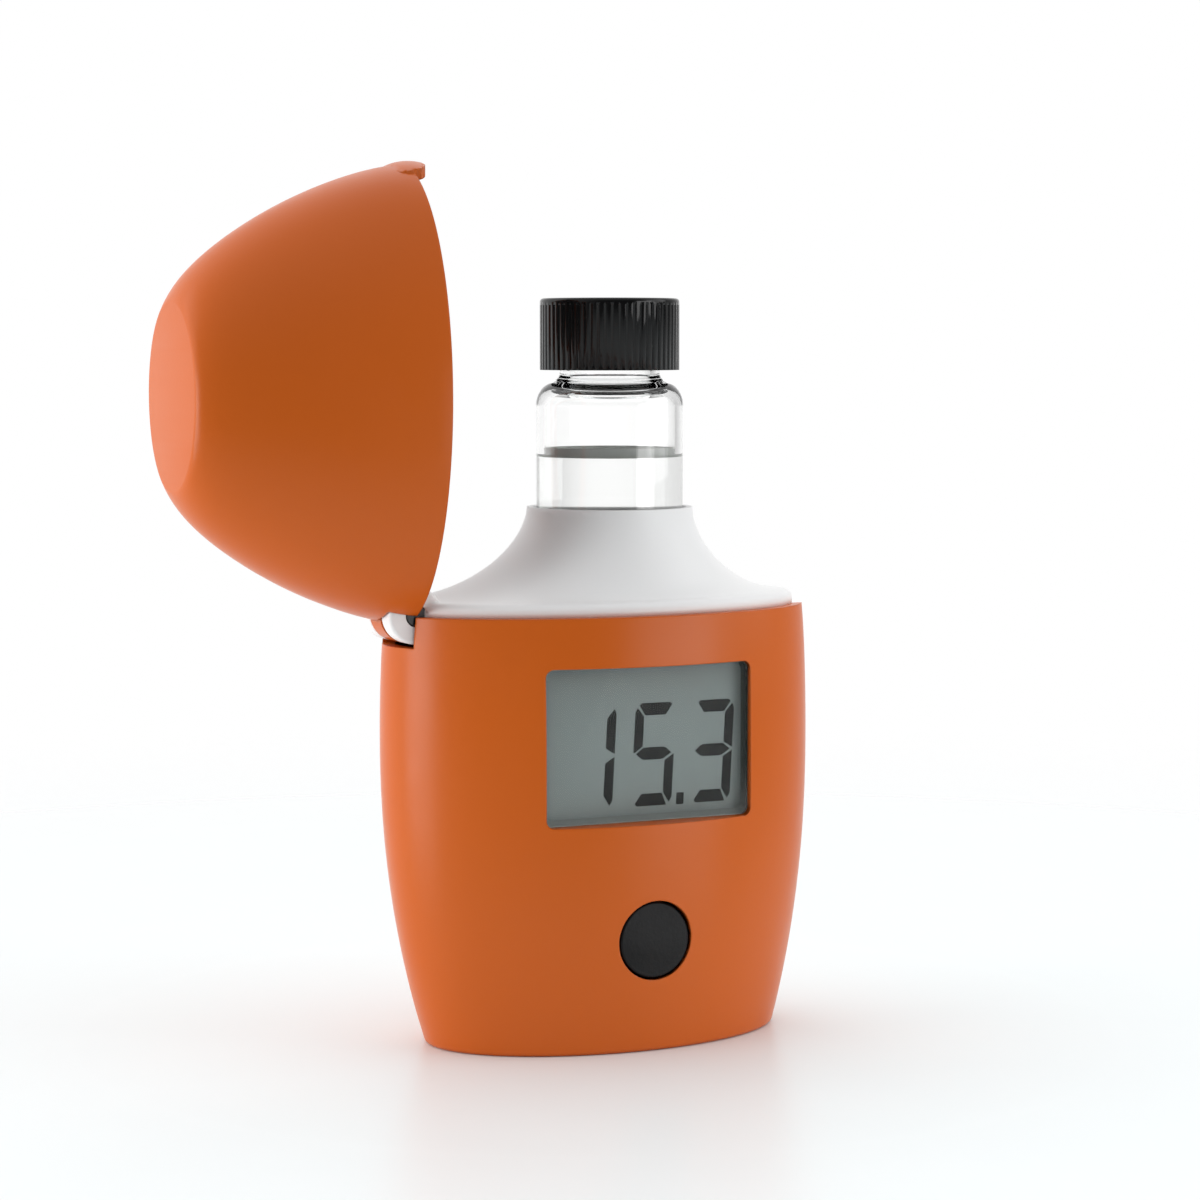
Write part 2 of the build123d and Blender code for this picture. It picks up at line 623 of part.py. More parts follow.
def lid_shell():
    lid = lid_form(0, LID_BASE)
    lid = fillet(lid.edges().group_by(Axis.Z)[-1], LID_TOP_EDGE_RADIUS)
    rebate_height = LIP_HEIGHT - RIM_GAP + TAB_CLEARANCE
    rebate = extrude(
        oval(0, LID_BASE, LID_HALF_WIDTH - LID_RIM_WALL, LID_HALF_DEPTH - LID_RIM_WALL),
        rebate_height,
    )
    lid -= lid_form(LID_WALL, LID_BASE)
    lid -= rebate
    lid += thumb_tab()
    half = EAR_INNER - HINGE_SIDE_GAP
    barrel = rod_y(BARREL_RADIUS, HINGE_X, HINGE_Z, -half, half)
    slot = BARREL_RADIUS + BARREL_CLEARANCE
    outer = EAR_OUTER + HINGE_SIDE_GAP
    lid -= rod_y(slot, HINGE_X, HINGE_Z, -outer, -half)
    lid -= rod_y(slot, HINGE_X, HINGE_Z, half, outer)
    lid += barrel
    lid -= rod_y(PIN_RADIUS + PIN_FIT_IN_BARREL, HINGE_X, HINGE_Z, -half, half)
    return open_lid(lid)


def lid_liner():
    low = HINGE_Z + BARREL_RADIUS + 2 * BARREL_CLEARANCE
    outside = lid_form(LID_WALL + LINER_GAP, low)
    inside = lid_form(LID_WALL + LINER_GAP + LINER_WALL, low)
    return open_lid(outside - inside)


def display_window():
    half = WINDOW_HALF_WIDTH - WINDOW_FIT
    corner = WINDOW_CORNER - WINDOW_FIT
    return panel(
        half, WINDOW_LOW + WINDOW_FIT, WINDOW_HIGH - WINDOW_FIT, PANE_FRONT, PANE_BACK, corner
    )


def lcd_bezel():
    half = WINDOW_HALF_WIDTH - WINDOW_FIT
    corner = WINDOW_CORNER - WINDOW_FIT
    low = WINDOW_LOW + WINDOW_FIT
    high = WINDOW_HIGH - WINDOW_FIT
    rim = panel(half, low, high, PANE_BACK, FRAME_BACK, corner)
    flange = block(
        -WINDOW_HALF_WIDTH - BEZEL_FLANGE, WINDOW_HALF_WIDTH + BEZEL_FLANGE,
        FRAME_BACK, BOARD_FRONT,
        WINDOW_LOW - BEZEL_FLANGE, WINDOW_HIGH + BEZEL_FLANGE,
    )
    pocket = block(
        -half + BEZEL_RIM, half - BEZEL_RIM, PANE_BACK, BOARD_FRONT,
        low + BEZEL_RIM, high - BEZEL_RIM,
    )
    return rim + flange - pocket


def lcd_panel():
    half = WINDOW_HALF_WIDTH - WINDOW_FIT - BEZEL_RIM - FACE_GAP
    low = WINDOW_LOW + WINDOW_FIT + BEZEL_RIM + FACE_GAP
    high = WINDOW_HIGH - WINDOW_FIT - BEZEL_RIM - FACE_GAP
    front = PANE_BACK + FACE_GAP
    return block(-half, half, front, front + LCD_THICKNESS, low, high)


def lcd_connectors():
    front = PANE_BACK + FACE_GAP + LCD_THICKNESS
    strips = Part()
    margin = WINDOW_FIT + BEZEL_RIM + STRIP_INSET
    for low in (WINDOW_LOW + margin, WINDOW_HIGH - margin - STRIP_HEIGHT):
        strip = block(
            -STRIP_LENGTH / 2, STRIP_LENGTH / 2, front, BOARD_FRONT, low, low + STRIP_HEIGHT
        )
        strips += strip
    return strips


def main_board():
    outline = make_face(Polyline(
        (-BOARD_FOOT_HALF_WIDTH, BOARD_LOW),
        (BOARD_FOOT_HALF_WIDTH, BOARD_LOW),
        (BOARD_HALF_WIDTH, BOARD_SHOULDER),
        (BOARD_HALF_WIDTH, BOARD_HIGH),
        (-BOARD_HALF_WIDTH, BOARD_HIGH),
        (-BOARD_HALF_WIDTH, BOARD_SHOULDER),
        close=True,
    ))
    upright = Plane(origin=(0, BOARD_BACK, 0), x_dir=(1, 0, 0), z_dir=(0, -1, 0))
    board = extrude(upright * outline, BOARD_THICKNESS)
    for x in (-BOARD_SCREW_X, BOARD_SCREW_X):
        for z in (BOARD_SCREW_LOW, BOARD_SCREW_HIGH):
            board -= rod_y(BOARD_SHANK_RADIUS + SCREW_FIT, x, z, BOARD_FRONT, BOARD_BACK)
    return board


def chip(x, z, width, height, thickness):
    return block(
        x - width / 2, x + width / 2, BOARD_FRONT - thickness, BOARD_FRONT,
        z - height / 2, z + height / 2,
    )


def board_chips():
    chips = chip(*CONTROLLER) + chip(*AMPLIFIER) + chip(*CONVERTER) + chip(*CRYSTAL)
    for i in range(CAPACITORS):
        x = (i - (CAPACITORS - 1) / 2) * CAPACITOR_PITCH
        chips += chip(x, CAPACITOR_Z, *CAPACITOR_SIZE)
    return chips


def button_cap():
    back = BUTTON_SEAT + BUTTON_SEAT_GAP
    cap = rod_y(BUTTON_RADIUS, 0, BUTTON_Z, BUTTON_FRONT, back)
    front_edge = cap.edges().filter_by(GeomType.CIRCLE).group_by(Axis.Y)[0]
    cap = fillet(front_edge, BUTTON_CROWN)
    flange_back = back + FLANGE_THICKNESS
    cap += rod_y(BUTTON_RADIUS + FLANGE_WIDTH, 0, BUTTON_Z, back, flange_back)
    return cap


def plunger_front():
    return BUTTON_SEAT + BUTTON_SEAT_GAP + FLANGE_THICKNESS


def switch_plunger():
    front = plunger_front()
    return rod_y(PLUNGER_RADIUS, 0, BUTTON_Z, front, front + PLUNGER_LENGTH)


def button_switch():
    half = SWITCH_SIZE / 2
    body = block(
        -half, half, BOARD_FRONT - SWITCH_THICKNESS, BOARD_FRONT, BUTTON_Z - half, BUTTON_Z + half
    )
    hole_back = plunger_front() + PLUNGER_LENGTH + BUTTON_TRAVEL + FACE_GAP
    return body - rod_y(
        PLUNGER_RADIUS + PLUNGER_FIT, 0, BUTTON_Z, BOARD_FRONT - SWITCH_THICKNESS, hole_back
    )


def led_lamp():
    lamp = block(
        CUVETTE_X - LED_WIDTH / 2, CUVETTE_X + LED_WIDTH / 2, BOARD_BACK, BOARD_BACK + LED_DEPTH,
        OPTICS_Z - LED_HEIGHT / 2, OPTICS_Z + LED_HEIGHT / 2,
    )
    lens_tip = BOARD_BACK + LED_DEPTH + LENS_RADIUS / 4
    lens = rod_y(LENS_RADIUS, CUVETTE_X, OPTICS_Z, BOARD_BACK, lens_tip)
    return lamp + lens


def light_filter():
    front = FILTER_SEAT + FACE_GAP
    return rod_y(FILTER_RADIUS, CUVETTE_X, OPTICS_Z, front, front + FILTER_THICKNESS)


def photodiode():
    front = FILTER_SEAT + FACE_GAP + FILTER_THICKNESS + OPTICS_GAP
    half = DIODE_SIZE / 2
    return block(
        CUVETTE_X - half, CUVETTE_X + half, front, DETECTOR_FACE, OPTICS_Z - half, OPTICS_Z + half
    )


def detector_screw_places():
    return (
        (CUVETTE_X - DETECTOR_SCREW, OPTICS_Z + DETECTOR_SCREW),
        (CUVETTE_X + DETECTOR_SCREW, OPTICS_Z - DETECTOR_SCREW),
    )


def detector_board():
    board = block(
        CUVETTE_X - DETECTOR_BLOCK, CUVETTE_X + DETECTOR_BLOCK + DETECTOR_TAIL,
        DETECTOR_FACE, DETECTOR_FACE + DETECTOR_BOARD,
        OPTICS_Z - DETECTOR_BLOCK, OPTICS_Z + DETECTOR_BLOCK,
    )
    for x, z in detector_screw_places():
        radius = SMALL_SHANK_RADIUS + SCREW_FIT
        board -= rod_y(radius, x, z, DETECTOR_FACE, DETECTOR_FACE + DETECTOR_BOARD)
    return board


def detector_flex():
    # A flat strip from the detector's board round the well to the back of the main board
    half = FLEX_THICKNESS / 2
    start_x = CUVETTE_X + DETECTOR_BLOCK + OPTICS_GAP
    rear = DETECTOR_FACE - half
    front = BOARD_BACK + half
    path = FilletPolyline(
        (start_x, rear), (FLEX_FRONT_TURN_X, rear), (FLEX_SIDE_X, CUVETTE_X + FILTER_RADIUS),
        (FLEX_SIDE_X, front), (FLEX_END_X, front), radius=FLEX_BEND,
    )
    strip = extrude(trace(path, FLEX_THICKNESS), FLEX_WIDTH)
    return Pos(0, 0, FLEX_Z - FLEX_WIDTH / 2) * strip


def battery_cell():
    cell = rod_z(CELL_NUB_RADIUS, CELL_X, 0, CELL_LOW, CELL_HIGH)
    can = rod_z(CELL_RADIUS, CELL_X, 0, CELL_LOW + CELL_NUB, CELL_HIGH)
    can = fillet(can.edges().filter_by(GeomType.CIRCLE), CELL_NUB / 2)
    return cell + can


def battery_spring():
    low = CELL_HIGH + SPRING_WIRE + FACE_GAP
    coil = Helix(SPRING_HEIGHT / SPRING_TURNS, SPRING_HEIGHT - FACE_GAP, SPRING_RADIUS)
    section = Plane(origin=coil @ 0, z_dir=coil % 0) * Circle(SPRING_WIRE)
    return Pos(CELL_X, 0, low) * sweep(section, path=coil)


def battery_cover():
    cover = rod_z(COVER_RADIUS, CELL_X, 0, COVER_RECESS, COVER_RECESS + COVER_THICKNESS)
    cover += rod_z(PLUG_RADIUS, CELL_X, 0, COVER_RECESS, PLUG_HIGH)
    for centre_angle in (90, 270):
        cover += sector(
            PLUG_RADIUS + LUG_REACH, LUG_ANGLE, centre_angle, LUG_LOW, LUG_LOW + LUG_HEIGHT
        )
    cover -= block(
        CELL_X - COIN_SLOT_LENGTH / 2, CELL_X + COIN_SLOT_LENGTH / 2,
        -COIN_SLOT_WIDTH / 2, COIN_SLOT_WIDTH / 2, 0, COVER_RECESS + COIN_SLOT_DEPTH,
    )
    low = LEDGE_LOW - RING_THICKNESS - 2 * RING_GROOVE_GAP
    high = COVER_RECESS + COVER_THICKNESS
    groove = rod_z(RING_OUTER + RING_GROOVE_GAP, CELL_X, 0, low, high)
    groove -= rod_z(RING_INNER - RING_GROOVE_GAP, CELL_X, 0, low, high)
    return cover - groove


def cover_ring():
    high = LEDGE_LOW - RING_GROOVE_GAP
    ring = rod_z(RING_OUTER, CELL_X, 0, high - RING_THICKNESS, high)
    return ring - rod_z(RING_INNER, CELL_X, 0, high - RING_THICKNESS, high)


def battery_contact():
    return rod_z(CONTACT_RADIUS, CELL_X, 0, PLUG_HIGH, CONTACT_HIGH)


def contact_leaf():
    # A bent metal strip up the front of the battery tube and across to the main board
    half = LEAF_WIDTH / 2
    inner = -CELL_TUBE_OUTER
    outer = inner - LEAF_THICKNESS
    left = CELL_X - half
    right = CELL_X + half
    low = TUBE_LOW
    upright = block(left, right, outer, inner, low, LEAF_HIGH)
    shelf = block(left, LEAF_BOARD_X, outer, inner, LEAF_HIGH - LEAF_WIDTH, LEAF_HIGH)
    reach = block(
        LEAF_BOARD_X - LEAF_THICKNESS, LEAF_BOARD_X, BOARD_BACK, inner,
        LEAF_HIGH - LEAF_WIDTH, LEAF_HIGH,
    )
    return upright + shelf + reach


def near_height(edges, z):
    return edges.filter_by(lambda edge: abs(edge.center().Z - z) < GLASS_WALL / 4)


def cuvette_glass():
    inside = GLASS_RADIUS - GLASS_WALL
    outline = Polyline(
        (0, GLASS_LOW),
        (GLASS_RADIUS, GLASS_LOW),
        (GLASS_RADIUS, SHOULDER_LOW),
        (FINISH_RADIUS, SHOULDER_HIGH),
        (FINISH_RADIUS, GLASS_TOP),
        (FINISH_BORE, GLASS_TOP),
        (FINISH_BORE, SHOULDER_HIGH - GLASS_WALL),
        (inside, SHOULDER_LOW - GLASS_WALL),
        (inside, GLASS_LOW + GLASS_FLOOR),
        (0, GLASS_LOW + GLASS_FLOOR),
        close=True,
    )
    glass = revolve(make_face(Plane.XZ * outline), Axis.Z)
    circles = glass.edges().filter_by(GeomType.CIRCLE)
    glass = fillet(near_height(circles, SHOULDER_LOW), SHOULDER_RADIUS)
    circles = glass.edges().filter_by(GeomType.CIRCLE)
    glass = fillet(near_height(circles, SHOULDER_HIGH), FINISH_FILLET)
    circles = glass.edges().filter_by(GeomType.CIRCLE)
    glass = fillet(near_height(circles, SHOULDER_LOW - GLASS_WALL), SHOULDER_RADIUS - GLASS_WALL)
    circles = glass.edges().filter_by(GeomType.CIRCLE)
    glass = fillet(near_height(circles, GLASS_LOW), GLASS_FLOOR_RADIUS)
    return Pos(CUVETTE_X, 0, 0) * glass


def sample_liquid():
    radius = GLASS_RADIUS - GLASS_WALL - SAMPLE_GAP
    return rod_z(radius, CUVETTE_X, 0, GLASS_LOW + GLASS_FLOOR + SAMPLE_GAP, SAMPLE_LEVEL)


def cap_high():
    return GLASS_TOP + CAP_LINER + CAP_TOP_WALL + FACE_GAP


def cap_liner():
    radius = CAP_BORE - CAP_RIB_DEPTH
    return rod_z(radius, CUVETTE_X, 0, GLASS_TOP + FACE_GAP / 2, GLASS_TOP + CAP_LINER)


def cuvette_cap():
    high = cap_high()
    cap = rod_z(CAP_RADIUS, CUVETTE_X, 0, CAP_LOW, high)
    cap = fillet(cap.edges().group_by(Axis.Z)[-1], CAP_PLAIN_TOP / 2)
    cap -= rod_z(CAP_BORE, CUVETTE_X, 0, CAP_LOW, high - CAP_TOP_WALL)
    pitch = 2 * math.pi * CAP_RADIUS / CAP_RIBS
    groove = Rot(0, 0, 45) * Box(pitch / 2, pitch / 2, high - CAP_PLAIN_TOP - CAP_LOW)
    groove_radius = CAP_RADIUS + pitch / 2 / math.sqrt(2) - CAP_RIB_DEPTH
    middle = (CAP_LOW + high - CAP_PLAIN_TOP) / 2
    grooves = [loc * groove for loc in PolarLocations(groove_radius, CAP_RIBS)]
    return cap - [Pos(CUVETTE_X, 0, middle) * one for one in grooves]


def chassis_screws():
    screws = Part()
    low = CHASSIS_HEAD_RECESS
    for x in chassis_screw_places():
        head = rod_z(CHASSIS_HEAD_RADIUS, x, 0, low, low + CHASSIS_HEAD)
        shank = rod_z(CHASSIS_SHANK_RADIUS, x, 0, low, low + CHASSIS_HEAD + CHASSIS_SHANK)
        drive = rod_z(DRIVE_RADIUS, x, 0, low, low + CHASSIS_HEAD / 2)
        screws += head + shank - drive
    return screws


def screw_y(x, z, seat, direction, head_radius, head, shank_radius, shank):
    # A screw along Y whose head sits on the face at seat, with its shank going in the direction
    out = seat - direction * head
    tip = seat + direction * shank
    screw = rod_y(head_radius, x, z, min(out, seat), max(out, seat))
    screw += rod_y(shank_radius, x, z, min(out, tip), max(out, tip))
    deep = out + direction * head / 2
    return screw - rod_y(head_radius / 3, x, z, min(out, deep), max(out, deep))


def board_screws():
    screws = Part()
    for x in (-BOARD_SCREW_X, BOARD_SCREW_X):
        for z in (BOARD_SCREW_LOW, BOARD_SCREW_HIGH):
            screws += screw_y(
                x, z, BOARD_FRONT, 1, BOARD_HEAD_RADIUS, BOARD_HEAD, BOARD_SHANK_RADIUS, BOARD_SHANK
            )
    return screws


def detector_screws():
    screws = Part()
    seat = DETECTOR_FACE + DETECTOR_BOARD
    for x, z in detector_screw_places():
        screws += screw_y(
            x, z, seat, -1, SMALL_HEAD_RADIUS, SMALL_HEAD, SMALL_SHANK_RADIUS, SMALL_SHANK
        )
    return screws


PIECES = (
    body_shell, cuvette_holder, well_seal_ring, hinge_pin, lid_shell, lid_liner,
    display_window, lcd_bezel, lcd_panel, lcd_connectors, main_board, board_chips,
    button_cap, switch_plunger, button_switch, led_lamp, light_filter, photodiode,
    detector_board, detector_flex, battery_cell, battery_spring, battery_contact, contact_leaf,
    battery_cover, cover_ring, cuvette_glass, sample_liquid, cap_liner, cuvette_cap,
    chassis_screws, board_screws, detector_screws,
)

os.makedirs("parts", exist_ok=True)
for piece in PIECES:
    export_step(piece(), os.path.join("parts", piece.__name__ + ".step"))
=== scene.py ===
# %% [markdown]
# # A pocket colorimeter, dressed in Blender
# The CAD model gives every part that has a real shape: the egg-shaped body, the flip lid, the white
# cuvette holder, the glass cuvette and its cap, the display, the button and everything inside.
# This file gives those parts their finishes and adds what is easier to model by hand: smooth skins
# for the moulded parts, a blown-glass look for the cuvette, its thread, the band where the sample
# climbs the glass and the digits of the display. Everything is in metres, in the same frame as the
# CAD, and sizes are written in millimetres times MM.

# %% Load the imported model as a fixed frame
import bpy
import math
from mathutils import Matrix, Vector


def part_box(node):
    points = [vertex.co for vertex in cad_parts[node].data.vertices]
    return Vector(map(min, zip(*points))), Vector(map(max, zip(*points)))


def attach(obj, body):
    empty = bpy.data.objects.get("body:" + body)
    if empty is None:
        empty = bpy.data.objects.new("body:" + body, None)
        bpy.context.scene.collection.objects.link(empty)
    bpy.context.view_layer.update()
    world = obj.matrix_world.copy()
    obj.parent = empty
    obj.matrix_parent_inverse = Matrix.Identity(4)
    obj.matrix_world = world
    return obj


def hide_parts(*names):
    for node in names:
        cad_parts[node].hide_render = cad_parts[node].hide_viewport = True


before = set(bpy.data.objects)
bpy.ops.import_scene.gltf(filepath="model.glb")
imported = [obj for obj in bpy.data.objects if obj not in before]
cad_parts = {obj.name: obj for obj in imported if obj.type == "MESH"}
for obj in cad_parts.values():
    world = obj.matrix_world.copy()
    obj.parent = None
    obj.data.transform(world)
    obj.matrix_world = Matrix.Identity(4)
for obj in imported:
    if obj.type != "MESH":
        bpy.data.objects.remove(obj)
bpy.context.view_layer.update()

MM = 0.001

# %% [markdown]
# ## Camera
# The photograph was taken from the front, a little to the left and slightly above the middle of the
# object, with a long lens: the verticals stay nearly parallel. A pinhole camera has only a few
# numbers, so its place, its turn and its lens are set here once and everything else follows.

# %% Camera at the photograph's angle
YAW = math.radians(26.01)
PITCH_DOWN = math.radians(4.58)
DISTANCE, EYE_HIGH = 430 * MM, 91.84 * MM
SENSOR_WIDTH, FOCAL_LENGTH, SIDE_SHIFT = 36, 97.7, 0.0028
camera_data = bpy.data.cameras.new("photo_camera")
camera_data.sensor_width = SENSOR_WIDTH
camera_data.lens = FOCAL_LENGTH
camera_data.shift_x = SIDE_SHIFT
camera_data.clip_start = 0.01
camera_data.clip_end = 20
camera = bpy.data.objects.new("photo_camera", camera_data)
camera.location = (-DISTANCE * math.sin(YAW), -DISTANCE * math.cos(YAW), EYE_HIGH)
camera.rotation_euler = (math.pi / 2 - PITCH_DOWN, 0, -YAW)
bpy.context.scene.collection.objects.link(camera)
bpy.context.scene.camera = camera
print("camera at", [round(v, 3) for v in camera.location])

# %% [markdown]
# ## Light
# A white studio tent whose open side is at the camera. Light comes from the back, the left and the
# top, so the silhouettes of the satin plastic pick up a pale sheen, while what faces the camera
# mirrors the dark room behind it and keeps its full colour. The world is a sum of soft lobes: each
# one is a direction, a power that says how narrow it is, and a brightness. The camera itself sees
# plain white.

# %% World
scene = bpy.context.scene
scene.view_settings.view_transform = "Standard"
TO_CAMERA = Vector((-math.sin(YAW), -math.cos(YAW), 0))
TO_RIGHT = Vector((math.cos(YAW), -math.sin(YAW), 0))
UPWARDS = Vector((0, 0, 1))
LOBES = [  # direction, power, brightness
    (-TO_CAMERA, 0.35, 0.62), (-TO_CAMERA, 8.0, 0.52), (-TO_RIGHT, 2.0, 0.80),
    (UPWARDS, 2.0, 1.00), (TO_CAMERA, 2.0, 0.14),
]


def lobe_light(tree, way, axis, power, level):
    """The brightness of one lobe in the direction way."""
    facing = tree.nodes.new("ShaderNodeVectorMath")
    facing.operation = "DOT_PRODUCT"
    tree.links.new(way, facing.inputs[0])
    facing.inputs[1].default_value = axis
    values = facing.outputs["Value"]
    for operation, number in (("MAXIMUM", 0.0), ("POWER", power), ("MULTIPLY", level)):
        node = tree.nodes.new("ShaderNodeMath")
        node.operation = operation
        tree.links.new(values, node.inputs[0])
        node.inputs[1].default_value = number
        values = node.outputs[0]
    return values


def tent_world():
    """The lobes added up, and plain white for what the camera sees directly."""
    world = bpy.data.worlds.new("white_tent")
    world.use_nodes = True
    tree = world.node_tree
    background = tree.nodes["Background"]
    way = tree.nodes.new("ShaderNodeTexCoord").outputs["Generated"]
    light = None
    for axis, power, level in LOBES:
        lobe = lobe_light(tree, way, axis, power, level)
        if light is None:
            light = lobe
            continue
        add = tree.nodes.new("ShaderNodeMath")
        tree.links.new(light, add.inputs[0])
        tree.links.new(lobe, add.inputs[1])
        light = add.outputs[0]
    seen = tree.nodes.new("ShaderNodeMix")
    ray = tree.nodes.new("ShaderNodeLightPath")
    tree.links.new(ray.outputs["Is Camera Ray"], seen.inputs["Factor"])
    tree.links.new(light, seen.inputs["A"])
    seen.inputs["B"].default_value = 1.0
    tree.links.new(seen.outputs["Result"], background.inputs["Strength"])
    background.inputs["Color"].default_value = (1.0, 1.0, 1.0, 1)
    return world


scene.world = tent_world()
print("world:", scene.world.name, "with", len(LOBES), "lobes")

# %% [markdown]
# Two soft lamps at the sides light the flanks more than the middle, two low ones next to the sheet
# lift the foot of the body, as the white sheet does in the photograph, and a faint one lights the
# top. Each lamp's place is given as seen from the camera: towards it, to its right, and up.

# %% Lamps
LAMPS = {  # place in metres, size in metres, power in watts
    "left_lamp": ((0.05, -0.50, 0.25), 0.40, 0.50),
    "right_lamp": ((0.05, 0.50, 0.25), 0.40, 0.90),
    "left_low_lamp": ((0.16, -0.36, 0.03), 0.20, 0.66),
    "right_low_lamp": ((0.20, 0.34, 0.03), 0.20, 0.42),
    "top_lamp": ((-0.25, 0.0, 0.40), 0.30, 0.12),
}
LAMP_TARGET = Vector((0, 0, 50 * MM))


def soft_lamp(name, place, size, power):
    """A square area lamp, aimed at the middle of the object."""
    data = bpy.data.lights.new(name, "AREA")
    data.size = size
    data.energy = power
    lamp = bpy.data.objects.new(name, data)
    lamp.location = TO_CAMERA * place[0] + TO_RIGHT * place[1] + UPWARDS * place[2]
    aim = LAMP_TARGET - lamp.location
    lamp.rotation_euler = aim.to_track_quat("-Z", "Y").to_euler()
    scene.collection.objects.link(lamp)


for name, (place, size, power) in LAMPS.items():
    soft_lamp(name, place, size, power)

# %% [markdown]
# ## Helpers for modelling
# Blender's operators act on whatever is selected, and loading the CAD leaves its nodes selected.
# So each new piece starts by deselecting everything. `finish_piece` moves a piece's place into its
# mesh, gives it its material and lets it ride on a CAD body, so that it moves when the lid or the
# cuvette moves.

# %% Selecting and finishing
RING_SIDES = 128


def pick_only(thing):
    """Select one object, and nothing else."""
    bpy.ops.object.select_all(action="DESELECT")
    thing.select_set(True)
    bpy.context.view_layer.objects.active = thing


def start_circle(name, x, y, z, radius):
    """A circle to extrude from, and edit mode with all of it selected."""
    bpy.ops.object.select_all(action="DESELECT")
    bpy.ops.mesh.primitive_circle_add(
        vertices=RING_SIDES, radius=radius * MM, location=(x * MM, y * MM, z * MM)
    )
    piece = bpy.context.object
    piece.name = name
    bpy.ops.object.mode_set(mode="EDIT")
    bpy.ops.mesh.select_all(action="SELECT")
    return piece


def draw_ring(now, then):
    """Extrude the selected ring from (radius, height) now to (radius, height) then."""
    bpy.ops.mesh.extrude_region_move(
        TRANSFORM_OT_translate={"value": (0, 0, (then[1] - now[1]) * MM)}
    )
    share = then[0] / now[0]
    bpy.ops.transform.resize(value=(share, share, 1))
    return then


def finish_piece(piece, material, body, angle=35):
    """Apply the piece's place, merge doubles, point its faces outwards and let it ride."""
    if bpy.context.object and bpy.context.object.mode == "EDIT":
        bpy.ops.object.mode_set(mode="OBJECT")
    pick_only(piece)
    bpy.ops.object.transform_apply(location=True, rotation=True, scale=True)
    bpy.ops.object.mode_set(mode="EDIT")
    bpy.ops.mesh.select_all(action="SELECT")
    bpy.ops.mesh.remove_doubles(threshold=0.000002)
    bpy.ops.mesh.normals_make_consistent(inside=False)
    bpy.ops.object.mode_set(mode="OBJECT")
    bpy.ops.object.shade_smooth_by_angle(angle=math.radians(angle))
    piece.data.materials.clear()
    piece.data.materials.append(material)
    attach(piece, body)
    print(piece.name, "has", len(piece.data.polygons), "faces")
    return piece


print("turned pieces have", RING_SIDES, "sides")

# %% [markdown]
# ## Shared effects
# Moulded plastic is never a flat colour. Its surface carries a fine grain from the spark-eroded
# mould, the colour drifts very slightly from place to place, and handling leaves faint smudges
# that only show in the gloss. Those effects are node groups, built once and used by every material
# with its own numbers.

# %% A node group for grain, drift and smudges
def new_group(name, inputs, outputs):
    group = bpy.data.node_groups.new(name, "ShaderNodeTree")
    for label, value in inputs:
        socket = group.interface.new_socket(label, in_out="INPUT", socket_type="NodeSocketFloat")
        socket.default_value = value
    for label in outputs:
        group.interface.new_socket(label, in_out="OUTPUT", socket_type="NodeSocketFloat")
    start = group.nodes.new("NodeGroupInput")
    end = group.nodes.new("NodeGroupOutput")
    return group, start, end


def math_node(tree, operation, a, b=None, clamp=False):
    node = tree.nodes.new("ShaderNodeMath")
    node.operation = operation
    node.use_clamp = clamp
    for socket, value in zip(node.inputs, (a, b)):
        if value is None:
            continue
        if isinstance(value, (int, float)):
            socket.default_value = value
        else:
            tree.links.new(value, socket)
    return node.outputs[0]


def noise_node(tree, vector, scale, detail=3.0, roughness=0.5):
    node = tree.nodes.new("ShaderNodeTexNoise")
    tree.links.new(vector, node.inputs["Vector"])
    if isinstance(scale, (int, float)):
        node.inputs["Scale"].default_value = scale
    else:
        tree.links.new(scale, node.inputs["Scale"])
    node.inputs["Detail"].default_value = detail
    node.inputs["Roughness"].default_value = roughness
    return node.outputs["Fac"]


def build_moulding():
    """Grain height, slow colour drift and smudges, all from Object coordinates in metres."""
    group, start, end = new_group(
        "moulded_surface",
        [("Grain Scale", 3200.0), ("Drift Scale", 22.0), ("Smudge Scale", 75.0)],
        ["Grain", "Drift", "Smudge"],
    )
    place = group.nodes.new("ShaderNodeTexCoord").outputs["Object"]
    grain = noise_node(group, place, start.outputs["Grain Scale"], 2.0, 0.6)
    drift = noise_node(group, place, start.outputs["Drift Scale"], 2.0, 0.45)
    smudge = noise_node(group, place, start.outputs["Smudge Scale"], 5.0, 0.62)
    smudge = math_node(group, "SUBTRACT", smudge, 0.47)
    smudge = math_node(group, "MULTIPLY", smudge, 4.0, clamp=True)
    group.links.new(grain, end.inputs["Grain"])
    group.links.new(drift, end.inputs["Drift"])
    group.links.new(smudge, end.inputs["Smudge"])
    return group


moulded_surface = build_moulding()
print("group", moulded_surface.name, [s.name for s in moulded_surface.interface.items_tree])

# %% [markdown]
# ## Moulded plastics
# One function makes every moulded finish. The base colour swings a little between a darker and a
# lighter tone with the drift, the smudges change only the roughness, and the grain is a bump a few
# hundredths of a millimetre deep. A moulding has no knife edges either: the bevel node turns the
# normal within a third of a millimetre of an edge, so that the rim and the openings catch a line
# of light. What is the same all over stays on the shader's own sockets.

# %% Plastic materials
def new_material(name):
    material = bpy.data.materials.new(name)
    material.use_nodes = True
    tree = material.node_tree
    shader = tree.nodes["Principled BSDF"]
    return material, tree, shader


def mix_colour(tree, factor, a, b):
    node = tree.nodes.new("ShaderNodeMix")
    node.data_type = "RGBA"
    tree.links.new(factor, node.inputs["Factor"])
    for socket, value in ((node.inputs[6], a), (node.inputs[7], b)):
        if isinstance(value, tuple):
            socket.default_value = (*value, 1)
        else:
            tree.links.new(value, socket)
    return node.outputs[2]


